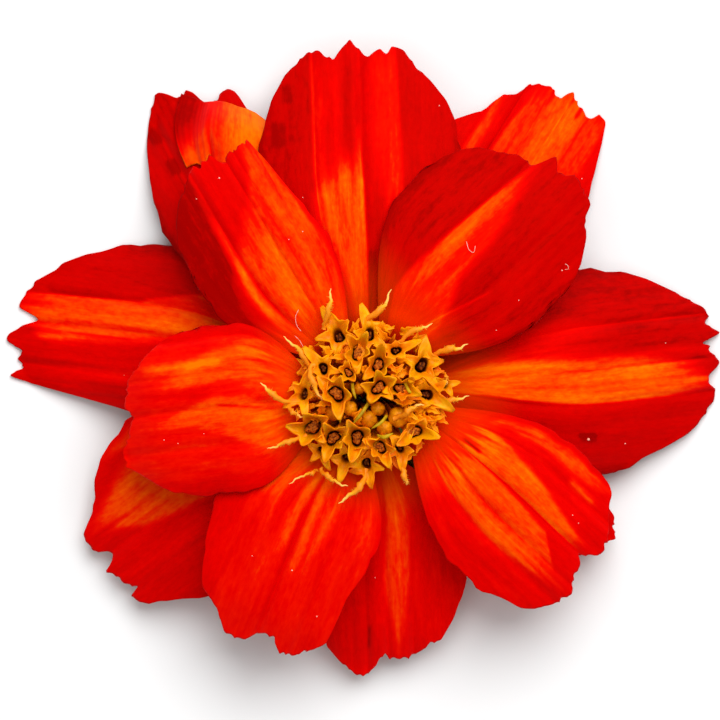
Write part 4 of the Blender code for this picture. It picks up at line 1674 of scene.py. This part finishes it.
@dataclass
class Disc:
    """The dome of disc florets with their styles and chaff."""

    seed: int = 7
    base_height: float = 4.7
    base_share: float = 0.46
    spread_height: float = 11.8
    lean_power: float = 1.35
    dome_crown: float = 13.4
    dome_fall: float = 0.052
    bud_drop: float = 0.35
    standing_scales: int = 110
    loose_lobes: int = 84
    chance: np.random.Generator = field(init=False)

    # Height of each wave in a floret's lobes, its turns round the floret and along a lobe, the number
    # of its phase, and the distances from the floret's axis over which it sets in.
    LOBE_WAVES = (
        (0.6, 1, 0, 3, 0.5, 2.0), (0.55, 2, 0, 4, 0.8, 2.0), (0.14, 7, 0, 2, 0.7, 1.5),
        (0.07, 17, 9, 1, 0.65, 1.2),
    )
    OPEN_SPACING = 0.82
    LOBE_LEAN = 0.8
    LOBE_HALF_WIDTH = 0.5
    DIVERGENCE = 137.508
    TUFT_HAIRS = 26
    TWIG_RINGS = 30
    TWIG_SIDES = 8
    SCALE_SHEET = 0.08

    def __post_init__(self) -> None:
        """Start the seeded chance that makes the florets differ."""
        self.chance = np.random.default_rng(self.seed)

    def build(self) -> None:
        """Build every floret, then the styles and the chaff."""
        outer = PlantSkin("waxy_lobe_skin", "#f67200", "#ffa400", 0.7, 0.45, 0.12).build()
        # The deep colours of the inner lobe, anther and bud skins are painted shade in throats, lobe grooves
        # and bud furrows.
        inner = PlantSkin(
            "waxy_lobe_inner_skin", "#fc8000", "#ffac00", 0.8, 0.4, 0.12, "depth", "#6c2200"
        ).build()
        pollen = PlantSkin(
            "pollen_on_brown_anthers", "#6a1402", "#f08018", 5.5, 0.75, 0.14, "depth", "#340800"
        ).build()
        bud_skin = PlantSkin(
            "closed_bud_skin", "#d07400", "#f49a04", 1.2, 0.4, 0.06, "depth", "#7a2c00"
        ).build()
        models = {
            Stage.OPEN: OPEN_COROLLA.build("open_floret", (outer, inner), pollen),
            Stage.CUPPED: CUPPED_COROLLA.build("cupped_floret", (outer, inner), pollen),
            Stage.BUD: ClosedBud().build("closed_floret", bud_skin),
        }
        for number, place in enumerate(FLORETS, start=1):
            self._plant(number, place, models[place.stage])
        for model in models.values():
            bpy.data.objects.remove(model)
        self._styles()
        self._chaff()
        self._standing_chaff()
        self._loose_lobes(outer)

    def _plant(self, number: int, place: FloretPlace, model: bpy.types.Object) -> None:
        """Copy a floret, spin and bend it along its tube, and put it in its place.

        Args:
            number: Number of the floret.
            place: Where it stands and how it looks.
            model: Upright floret to copy.
        """
        take(model)
        bpy.ops.object.duplicate()
        piece = bpy.context.active_object
        piece.name = piece.data.name = f"{place.stage.value}_floret_{number:02d}"
        points = points_of(piece.data)
        top = self.dome_top(place.distance) - (self.bud_drop if place.stage is Stage.BUD else 0.0)
        set_values(piece.data, "depth", self._depth(piece.data, points, place.stage))
        radial = np.hypot(points[:, 0], points[:, 1])
        around = np.arctan2(points[:, 1], points[:, 0])
        phases = self.chance.uniform(0, 2 * math.pi, 5)
        head = smooth_step(points[:, 2], -2.2, -0.9)
        uneven = 1 + 0.2 * np.sin(around * 2 + phases[0]) * smooth_step(radial, 0.7, 1.6)
        uneven = uneven + 0.2 * head * np.sin(around * 2 + phases[1])
        uneven = uneven + 0.09 * head * np.sin(around * 3 + phases[2])
        lobed = place.stage is not Stage.BUD
        radial = radial * (uneven if lobed else 1.0) * (1 + (place.size - 1) * head)
        lift = points[:, 2] * np.where(points[:, 2] > 0, place.size, 1.0)
        for height, turns, outward, phase, start, end in self.LOBE_WAVES if lobed else ():
            wave = np.sin(around * turns + radial * outward + phases[phase])
            lift = lift + height * wave * smooth_step(radial, start, end)
        around = around + math.radians(place.spin)
        local = np.column_stack((radial * np.cos(around), radial * np.sin(around), lift))
        set_points(piece.data, (self._bend(local, place, top) + AXIS) * MM)
        declare(piece, "disc_floret", f"disc_floret_{number:02d}")

    def dome_top(self, distance: float) -> float:
        """Return the height of the dome at a distance from the axis."""
        return self.dome_crown - self.dome_fall * distance**2

    def _depth(self, mesh: bpy.types.Mesh, points: Points, stage: Stage) -> Points:
        """Measure how far down in the shade of the floret each point lies.

        Args:
            mesh: Mesh of the floret.
            points: Its points, upright.
            stage: How far it has opened.

        Returns:
            The shade at each point, from 0 in the open to 1 at the bottom.
        """
        if stage is Stage.BUD:
            furrow = np.empty(len(mesh.vertices), dtype=np.float32)
            mesh.attributes["furrow"].data.foreach_get("value", furrow)
            return np.clip(1 - smooth_step(points[:, 2], -1.9, -0.9) + 0.35 * furrow, 0, 1)
        out = np.hypot(points[:, 0], points[:, 1])
        around = np.arctan2(points[:, 1], points[:, 0])
        groove = (0.5 + 0.5 * np.cos(Corolla.LOBES * around)) ** 6 * (1 - smooth_step(out, 1.0, 1.9))
        throat = 1 - smooth_step(points[:, 2], -0.45, 0.1)
        mouth = 1 - smooth_step(out, 0.6, 1.15)
        return np.clip(throat + (0.16 * groove + 0.22 * mouth) * (1 - throat), 0, 1)

    def _spread(self, height: Points) -> Points:
        """Return the share of its mouth's distance from the axis that a tube has at a height."""
        share = np.clip((height - self.base_height) / (self.spread_height - self.base_height), 0, 1)
        return self.base_share + (1 - self.base_share) * share**self.lean_power

    def _bend(self, local: Points, place: FloretPlace, top: float) -> Points:
        """Bend an upright floret so that its tube leans out from the receptacle.

        Args:
            local: Points of the upright floret, its mouth at the origin.
            place: Where the floret stands.
            top: Height of the mouth.

        Returns:
            The points about the flower's axis.
        """
        height = np.clip(top + np.minimum(local[:, 2], 0.0), self.base_height, None)
        reach = place.distance * self._spread(height) / self._spread(top)
        rise = self.spread_height - self.base_height
        slope = place.distance * (1 - self.base_share) * self.lean_power / rise
        tilt = math.atan(slope) * place.lean * smooth_step(local[:, 2], -3.0, -0.8)
        outward = heading(place.azimuth)
        sideways = np.array((-outward[1], outward[0]))
        out_part = local[:, :2] @ outward
        above = np.maximum(local[:, 2], 0.0)
        moved_out = reach + out_part * np.cos(tilt) + above * np.sin(tilt)
        moved_up = height - out_part * np.sin(tilt) + above * np.cos(tilt)
        flat = moved_out[:, None] * outward + (local[:, :2] @ sideways)[:, None] * sideways
        return np.column_stack((flat, moved_up))

    def _styles(self) -> None:
        """Build the style branches that reach out past the florets."""
        skin = StyleSkin().build()
        twigs = [self._twig(f"style_{number:02d}", style) for number, style in enumerate(STYLES, start=1)]
        piece = join(twigs, "style_branches")
        piece.data.materials.append(skin)
        smooth_shading(piece)
        declare(piece, "disc_floret")

    def _twig(self, name: str, style: Style) -> bpy.types.Object:
        """Build one style branch as a tapering tube with tufts at its knot.

        Args:
            name: Name of the branch.
            style: The branch to build.

        Returns:
            The finished branch.
        """
        piece, ring, around = ringed_tube(name, self.TWIG_SIDES, self.TWIG_RINGS)
        share = ring / (self.TWIG_RINGS - 1)
        spine = np.linspace(0, 1, self.TWIG_RINGS)
        line = along_path(style.path, spine)
        waist, swell = style.knot * 0.55, style.knot
        climb, fall = 1 - smooth_step(spine, 0.0, swell), smooth_step(spine, swell, 1.0)
        heights = style.height - 0.9 * climb - 0.25 * fall
        thicknesses = [(0, 0.22), (waist, 0.18), (swell, 0.27), (swell + 0.13, 0.17), (0.88, 0.08), (1, 0.02)]
        girth = smooth_curve(spine, thicknesses)
        near_knot = np.exp(-(((share - swell) / 0.2) ** 2))
        rough = 1 + 0.45 * (self.chance.random(len(around)) - 0.5) * near_knot
        radius = girth[ring] * rough * style.bulk
        wobble = 0.05 * np.sin(spine * 19 + self.chance.uniform(0, 6)) + 0.03 * np.sin(spine * 43)
        flat = line[ring] + left_of(line)[ring] * (radius * np.cos(around) + wobble[ring])[:, None]
        points = np.column_stack((flat, heights[ring] + radius * np.sin(around)))
        set_points(piece.data, (points + AXIS) * MM)
        set_values(piece.data, "tip", smooth_step(share, swell, 1.0))
        return self._tufted(piece, style, np.column_stack((line, heights)))

    def _tufted(self, piece: bpy.types.Object, style: Style, spine: Points) -> bpy.types.Object:
        """Add short stiff hairs round the knot of a style branch.

        Args:
            piece: The bare branch.
            style: The branch it was built from.
            spine: Points along its middle.

        Returns:
            The branch joined to its hairs.
        """
        corners: list[tuple[float, float, float]] = []
        faces: list[tuple[int, int, int]] = []
        for _ in range(self.TUFT_HAIRS):
            at = float(np.clip(self.chance.normal(style.knot + 0.04, 0.09), 0.05, 0.95))
            index = int(at * (len(spine) - 1))
            root = spine[index]
            ahead = (spine[index + 1] - root) * np.array((1.0, 1.0, 0.0))
            ahead /= np.linalg.norm(ahead)
            turn = self.chance.uniform(0, 2 * math.pi)
            aside = np.array((-ahead[1], ahead[0], 0.0))
            out = aside * math.cos(turn) + np.array((0, 0, 1.0)) * math.sin(turn)
            lean = out * self.chance.uniform(0.28, 0.45) + ahead * self.chance.uniform(0.1, 0.3)
            across = np.cross(out, ahead) * 0.05
            hair = (root + across, root - across, root + ahead * 0.07, root + lean * style.bulk)
            first = len(corners)
            corners += [tuple((corner + AXIS) * MM) for corner in hair]
            sides = ((0, 1, 3), (1, 2, 3), (2, 0, 3), (0, 2, 1))
            faces += [(first + a, first + b, first + c) for a, b, c in sides]
        mesh = bpy.data.meshes.new(piece.name + "_tuft")
        mesh.from_pydata(corners, [], faces)
        tuft = bpy.data.objects.new(mesh.name, mesh)
        bpy.context.scene.collection.objects.link(tuft)
        set_values(mesh, "tip", np.full(len(corners), 0.35))
        return join([piece, tuft], piece.name)

    def _loose_lobes(self, skin: bpy.types.Material) -> None:
        """Build pointed lobes that stand at all angles in the gaps between the florets' mouths.

        Args:
            skin: Material of the lobes.
        """
        mouths = np.array([heading(place.azimuth) * place.distance for place in FLORETS])
        lobes: list[bpy.types.Object] = []
        while len(lobes) < self.loose_lobes:
            distance, azimuth = 6.1 * math.sqrt(self.chance.uniform(0.06, 1.0)), self.chance.uniform(0, 360)
            aim, length = azimuth + self.chance.normal(0, 75), self.chance.uniform(1.3, 2.1)
            root = heading(azimuth) * distance
            tip = root + heading(aim) * length * self.LOBE_LEAN
            gaps = [np.hypot(*(mouths - spot).T).min() for spot in (root, (root + tip) / 2, tip)]
            if np.hypot(*tip) > 7.0 or min(gaps) < self.OPEN_SPACING:
                continue
            piece = grid_primitive(f"loose_lobe_{len(lobes)}", 4, 6)
            flat = points_of(piece.data)
            share, across = (flat[:, 1] + 1) / 2, flat[:, 0]
            narrow = (1 - share**1.4) * (0.75 + 0.25 * np.sin(share * 23 + len(lobes)))
            turn = aim + 90 + self.chance.uniform(-25, 25)
            spots = root + (share * length * self.LOBE_LEAN)[:, None] * heading(aim)
            spots = spots + (across * self.LOBE_HALF_WIDTH * narrow)[:, None] * heading(turn)
            rise = self.chance.uniform(0.2, 1.1) * np.sin(share * math.pi * 0.6)
            height = self.dome_top(distance) - 0.6 + rise + 0.28 * np.abs(across) * narrow
            set_points(piece.data, (np.column_stack((spots, height)) + AXIS) * MM)
            lobes.append(piece)
        self._finish_scales(join(lobes, "loose_lobes"), skin)

    def _chaff(self) -> None:
        """Build the scales that bend over between the inner florets."""
        skin = PlantSkin("pale_chaff_skin", "#a07c04", "#c8a010", 2.0, 0.4, 0.02).build()
        strips = []
        for number, strip in enumerate(CHAFF, start=1):
            piece = grid_primitive(f"chaff_{number}", 3, 12)
            flat = points_of(piece.data)
            share = (flat[:, 1] + 1) / 2
            ahead = np.array(strip.path[-1]) - np.array(strip.path[0])
            aside = np.array((-ahead[1], ahead[0])) / np.hypot(*ahead)
            width = strip.width / 2 * np.minimum(1.0, 3.2 * (1.02 - share))
            heights = 13.2 + 0.55 * np.sin(share * math.pi * 0.75) - 0.06 * np.abs(flat[:, 0])
            spots = along_path(strip.path, share) + aside * (-flat[:, 0] * width)[:, None]
            set_points(piece.data, (np.column_stack((spots, heights)) + AXIS) * MM)
            strips.append(piece)
        self._finish_scales(join(strips, "chaff_scales"), skin)

    def _standing_chaff(self) -> None:
        """Build the brown scales that stand between the florets' tubes and fill the disc."""
        skin = PlantSkin("brown_chaff_skin", "#cc6000", "#fa9000", 1.6, 0.5, 0.02).build()
        scales = []
        for number in range(self.standing_scales):
            piece = grid_primitive(f"standing_scale_{number}", 2, 5)
            flat = points_of(piece.data)
            share = (flat[:, 1] + 1) / 2
            distance = 5.6 * math.sqrt(self.chance.uniform(0.01, 1.0))
            azimuth = number * self.DIVERGENCE
            top = self.dome_top(distance) - self.chance.uniform(0.6, 1.3)
            height = self.base_height - 0.3 + (top - self.base_height + 0.3) * share
            reach = distance * (self.base_share + (1 - self.base_share) * share**self.lean_power)
            width = 0.46 * (1 - share**3 * 0.9)
            turn = azimuth + self.chance.uniform(-40, 40)
            outward, aside = heading(azimuth), heading(turn + 90)
            spots = reach[:, None] * outward + (flat[:, 0] * width)[:, None] * aside
            set_points(piece.data, (np.column_stack((spots, height)) + AXIS) * MM)
            scales.append(piece)
        self._finish_scales(join(scales, "standing_chaff"), skin)

    def _finish_scales(self, piece: bpy.types.Object, skin: bpy.types.Material) -> None:
        """Dress and thicken joined scales.

        Args:
            piece: The scales.
            skin: Their material.
        """
        piece.data.materials.append(skin)
        thicken(piece, self.SCALE_SHEET * MM)
        smooth_shading(piece)
        declare(piece, "disc_floret")


# --------------------------------------------------------------------------- bracts and stalk


class Ring(Enum):
    """The two rings of bracts behind the petals."""

    INNER = "inner_bract"
    OUTER = "outer_bract"


@dataclass(frozen=True)
class BractRing:
    """A ring of bracts behind the petals.

    Attributes:
        ring: Which ring it is.
        slot: Material slot of the ring.
        path: Pairs of (distance from the axis, height) along a bract's midrib.
        half_widths: Half width at each point of the path.
        turn: Azimuth of the first bract.
        cup: How far the side edges stand above the midrib.
    """

    ring: Ring
    slot: str
    path: Curve
    half_widths: tuple[float, ...]
    turn: float
    cup: float

    COUNT = 8
    SHEET = 0.26
    COLUMNS = 14
    ROWS = 26

    def build(self, skin: bpy.types.Material) -> None:
        """Build one bract and turn copies of it round the stalk.

        Args:
            skin: Material of the bracts.
        """
        model = self._model(skin)
        for index in range(self.COUNT):
            take(model)
            bpy.ops.object.duplicate()
            piece = bpy.context.active_object
            node = f"{self.ring.value}_{index + 1}"
            piece.name = piece.data.name = "leafy_" + node
            azimuth = math.radians(self.turn + 360 * index / self.COUNT)
            turned = points_of(piece.data) @ np.array(Matrix.Rotation(-azimuth, 3, "Z"))
            set_points(piece.data, (turned + AXIS) * MM)
            declare(piece, self.slot, node)
        bpy.data.objects.remove(model)

    def _model(self, skin: bpy.types.Material) -> bpy.types.Object:
        """Build one bract that points along x, in millimetres drawn as metres.

        Args:
            skin: Material of the bract.

        Returns:
            The bract to copy.
        """
        piece = grid_primitive(self.ring.value, self.COLUMNS, self.ROWS)
        flat = points_of(piece.data)
        side, share = -flat[:, 0], (flat[:, 1] + 1) / 2
        radius, height = along_path(self.path, share).T
        knots = np.linspace(0, 1, len(self.half_widths))
        half = np.maximum(smooth_curve(share, list(zip(knots, self.half_widths))), 0.05)
        height = height + self.cup * side * side + 0.05 * np.cos(side * 20)
        set_points(piece.data, np.column_stack((radius, side * half, height)))
        midrib, side_veins = np.exp(-((side / 0.12) ** 2)), np.exp(-(((np.abs(side) - 0.5) / 0.08) ** 2))
        set_values(piece.data, "vein", midrib + 0.4 * side_veins)
        set_sheet_map(piece.data, side * half, radius)
        piece.data.materials.append(skin)
        thicken(piece, self.SHEET)
        smooth_shading(piece)
        return piece


@dataclass(frozen=True)
class StalkStub:
    """The ribbed stub of stalk with the receptacle that it flares into."""

    profile: Curve = (
        (0.96, 0.0), (1.0, 0.06), (0.96, 0.7), (0.95, 1.3), (1.08, 1.75), (1.35, 2.1), (2.0, 2.5),
        (2.7, 2.84), (3.6, 3.14), (4.5, 3.45), (4.85, 3.68), (4.95, 3.9), (4.75, 4.22), (3.6, 4.34),
        (2.4, 4.38),
    )
    ribs: int = 8
    rib_depth: float = 0.06
    cut_depth: float = 0.08
    cut_rim: float = 0.22

    SIDES = 64

    def build(self, skin: bpy.types.Material) -> None:
        """Build the stub, with its lower end cut across and its upper end closed.

        Args:
            skin: Material of the stub.
        """
        piece = Turning(self.SIDES, self.profile, closed=True).build("ribbed_stalk_stub")
        self._close_cut(piece)
        points = points_of(piece.data)
        around = np.arctan2(points[:, 1], points[:, 0])
        below_flare = 1 - smooth_step(points[:, 2], 3.2, 4.0)
        points[:, :2] *= (1 + self.rib_depth * np.cos(around * self.ribs) * below_flare)[:, None]
        set_values(piece.data, "vein", 0.5 + 0.5 * np.cos(around * self.ribs))
        set_points(piece.data, (points + AXIS) * MM)
        piece.data.materials.append(skin)
        smooth_shading(piece)
        declare(piece, "stalk", STALK_NODE)

    def _close_cut(self, piece: bpy.types.Object) -> None:
        """Close the cut end of the stalk with an inset face that sinks a little.

        Args:
            piece: The open stub.
        """
        take(piece)
        bpy.ops.object.mode_set(mode="EDIT")
        bpy.ops.mesh.select_all(action="DESELECT")
        bpy.ops.mesh.select_non_manifold()
        bpy.ops.mesh.edge_face_add()
        bpy.ops.mesh.inset(thickness=self.cut_rim)
        bpy.ops.transform.translate(value=(0, 0, self.cut_depth))
        bpy.ops.mesh.select_all(action="SELECT")
        bpy.ops.mesh.normals_make_consistent(inside=False)
        bpy.ops.object.mode_set(mode="OBJECT")


BRACT_RINGS = (
    BractRing(
        ring=Ring.INNER,
        slot="bract_membrane",
        path=((5.5, 3.85), (5.8, 4.6), (6.8, 5.2), (8.6, 5.35), (10.6, 5.0)),
        half_widths=(1.15, 1.5, 1.7, 1.35, 0.25),
        turn=10.0,
        cup=0.12,
    ),
    BractRing(
        ring=Ring.OUTER,
        slot="bract_green",
        path=((3.4, 2.6), (5.2, 2.75), (7.6, 2.9), (10.2, 2.6), (12.6, 1.9)),
        half_widths=(0.5, 0.65, 0.6, 0.45, 0.15),
        turn=32.5,
        cup=0.12,
    ),
)


# --------------------------------------------------------------------------- loose grains and hairs


@dataclass(frozen=True)
class Litter:
    """Loose pollen grains and a few stray hairs that lie on the petals.

    Attributes:
        grains: Rows of (petal, place across it, place along it, radius).
        hairs: Rows of (height, path seen from above), one for each fine hair.
    """

    grains: tuple[tuple[str, float, float, float], ...]
    hairs: tuple[tuple[float, Curve], ...]

    GRAIN_LIFT = 0.14
    HAIR_RADIUS = 0.02
    HAIR_RINGS = 20
    HAIR_SIDES = 4

    def build(self) -> None:
        """Build the grains and the hairs."""
        skin = PlantSkin("pale_pollen_grain", "#ff9c80", "#ffe0d4", 3.0, 0.5, 0.01).build()
        sheets = {petal.node: petal for petal in PETALS}
        pieces = []
        for node, across, along, radius in self.grains:
            petal, side = sheets[node], np.array((across,))
            share = along / (1 - petal.plan.shortfall(side) / petal.plan.reach)
            spot = petal.surface(side, share)[0][0] + AXIS + (0, 0, self.GRAIN_LIFT)
            deselect()
            size, place = radius * MM, spot * MM
            bpy.ops.mesh.primitive_uv_sphere_add(segments=8, ring_count=5, radius=size, location=place)
            bpy.ops.object.transform_apply(location=True)
            pieces.append(bpy.context.active_object)
        for height, path in self.hairs:
            pieces.append(self._hair(height, path))
        piece = join(pieces, "pollen_grains_and_hairs")
        piece.data.materials.clear()
        piece.data.materials.append(skin)
        smooth_shading(piece)
        declare(piece, "disc_floret")

    def _hair(self, height: float, path: Curve) -> bpy.types.Object:
        """Build one fine hair along a path.

        Args:
            height: Height of the hair.
            path: Points seen from above, about the axis.

        Returns:
            The hair.
        """
        piece, ring, around = ringed_tube("hair", self.HAIR_SIDES, self.HAIR_RINGS)
        line = along_path(path, np.linspace(0, 1, self.HAIR_RINGS))
        outward, upward = self.HAIR_RADIUS * np.cos(around), self.HAIR_RADIUS * np.sin(around)
        flat = line[ring] + left_of(line)[ring] * outward[:, None]
        set_points(piece.data, (np.column_stack((flat, height + upward)) + AXIS) * MM)
        return piece


LITTER = Litter(
    grains=(
        ("petal_03_upper_left", 0.15, 0.92, 0.068), ("petal_03_upper_left", 0.5, 0.9, 0.051),
        ("petal_03_upper_left", -0.3, 0.55, 0.0425), ("petal_03_upper_left", -0.62, 0.55, 0.051),
        ("petal_02_upper_right", -0.76, 0.73, 0.0595), ("petal_02_upper_right", -0.8, 0.38, 0.0425),
        ("petal_02_upper_right", -0.66, 0.52, 0.0425), ("petal_01_top", -0.8, 0.8, 0.051),
        ("petal_01_top", 0.6, 0.5, 0.0425), ("petal_04_left", 0.3, 0.82, 0.0425),
        ("petal_04_left", 0.36, 0.75, 0.0425), ("petal_04_left", 0.28, 0.62, 0.034),
        ("petal_05_lower_left", 0.5, 0.81, 0.0595), ("petal_05_lower_left", -0.08, 0.66, 0.0595),
        ("petal_05_lower_left", -0.48, 0.66, 0.0425), ("petal_06_lower_right", 0.4, 0.79, 0.051),
        ("petal_06_lower_right", 0.38, 0.83, 0.0425), ("petal_07_right", -0.75, 0.67, 0.051),
        ("petal_07_right", 0.12, 0.83, 0.0425), ("petal_07_right", -0.68, 0.54, 0.1275),
        ("petal_08_upper_right", -0.8, 0.8, 0.051), ("petal_10_left", 0.3, 0.62, 0.034),
        ("petal_11_lower_left", -0.7, 0.66, 0.0425), ("petal_12_bottom", -0.1, 0.6, 0.034),
    ),
    hairs=(
        (10.7, ((-6.0, 7.2), (-6.25, 6.6), (-6.15, 5.9), (-5.8, 5.4))),
        (10.6, ((-6.3, 5.0), (-5.9, 4.6), (-5.6, 4.1), (-5.2, 3.9))),
        (10.26, ((8.07, 12.94), (8.29, 12.25), (8.69, 12.03), (8.82, 12.56))),
        (8.6, ((16.4, 11.1), (16.62, 10.95), (16.65, 10.68), (16.4, 10.62))),
    ),
)


# --------------------------------------------------------------------------- studio


@dataclass(frozen=True)
class Studio:
    """A white table, soft light from over the flower's top edge, and a long lens above it."""

    lens_mm: float = 500.0
    sensor_mm: float = 36.0
    view_width_mm: float = 60.84
    focus_height_mm: float = 4.0
    aim_x_mm: float = -0.85
    aim_y_mm: float = 3.1
    elevation: float = 89.0
    floor_m: float = 3.0
    floor_drop_m: float = 0.00005
    world_strength: float = 0.27

    def build(self) -> None:
        """Build the floor, the lights and the camera."""
        self._floor()
        self._lights()
        self._camera()
        bpy.context.scene.view_settings.view_transform = "Standard"

    def _floor(self) -> None:
        """Lay a plain white table top."""
        deselect()
        bpy.ops.mesh.primitive_plane_add(size=self.floor_m, location=(0.0, 0.0, -self.floor_drop_m))
        table = bpy.context.active_object
        table.name = "table_top"
        material, _, shader = new_material("matt_white_card")
        shader.inputs["Base Color"].default_value = linear("#f0f0f0")
        shader.inputs["Roughness"].default_value = 0.9
        table.data.materials.append(material)

    def _lights(self) -> None:
        """Light the flower softly."""
        world = bpy.data.worlds.new("studio")
        world.use_nodes = True
        background = world.node_tree.nodes["Background"]
        background.inputs["Color"].default_value = linear("#ffffff")
        background.inputs["Strength"].default_value = self.world_strength
        bpy.context.scene.world = world
        self._lamp("window", energy=2.92, spread=52, tilt=(-33, 14))
        self._lamp("overhead_panel", energy=0.68, spread=60, tilt=(7, -4))

    def _lamp(self, name: str, energy: float, spread: float, tilt: tuple[float, float]) -> None:
        """Add one large soft lamp.

        Args:
            name: Name of the lamp.
            energy: Its strength.
            spread: Angle that it fills, seen from the flower.
            tilt: Its tilts about x and about y.
        """
        sun = bpy.data.lights.new(name, "SUN")
        sun.energy = energy
        sun.angle = math.radians(spread)
        lamp = bpy.data.objects.new(name, sun)
        lamp.rotation_euler = Euler((math.radians(tilt[0]), math.radians(tilt[1]), 0.0))
        bpy.context.scene.collection.objects.link(lamp)

    def _camera(self) -> None:
        """Put the camera above the flower."""
        half = math.atan(self.sensor_mm / 2 / self.lens_mm)
        distance = self.view_width_mm / 2 / math.tan(half) * MM
        tilt = math.radians(self.elevation)
        back = Vector((0.0, -math.cos(tilt), math.sin(tilt)))
        aim = Vector(AXIS + (self.aim_x_mm, self.aim_y_mm, self.focus_height_mm)) * MM
        data = bpy.data.cameras.new("camera")
        data.lens = self.lens_mm
        data.sensor_width = self.sensor_mm
        data.clip_start = 0.01
        camera = bpy.data.objects.new("camera", data)
        camera.location = aim + back * distance
        camera.rotation_euler = Euler((math.pi / 2 - tilt, 0.0, 0.0))
        bpy.context.scene.collection.objects.link(camera)
        bpy.context.scene.camera = camera


def main() -> None:
    """Build every piece in order."""
    logging.basicConfig(level=logging.INFO, format="%(name)s %(message)s")
    face = PetalSkin().build()
    underside = PetalSkin(
        name="petal_underside_skin",
        stops=((0.0, "#b00400"), (0.3, "#d83400"), (0.6, "#ee5802"), (1.0, "#fa7a08")),
    ).build()
    for petal in PETALS:
        piece = petal.build((face, underside))
        if petal.node == "petal_09_upper_left":
            piece = join([piece, UPPER_LEFT_ROLL.build((face, underside))], piece.name)
        declare(piece, "petal", petal.node)
    Disc().build()
    LITTER.build()
    membrane = LeafSkin("membrane_bract_skin", "#8f8a30", "#a89a40", "#5c6420").build()
    green = LeafSkin("leafy_bract_skin", "#4c6a22", "#5f8030", "#88a050").build()
    for ring in BRACT_RINGS:
        ring.build(membrane if ring.ring is Ring.INNER else green)
    StalkStub().build(LeafSkin("ribbed_stalk_skin", "#4f6f26", "#658636", "#8aa458").build())
    Studio().build()


if __name__ == "__main__":
    main()
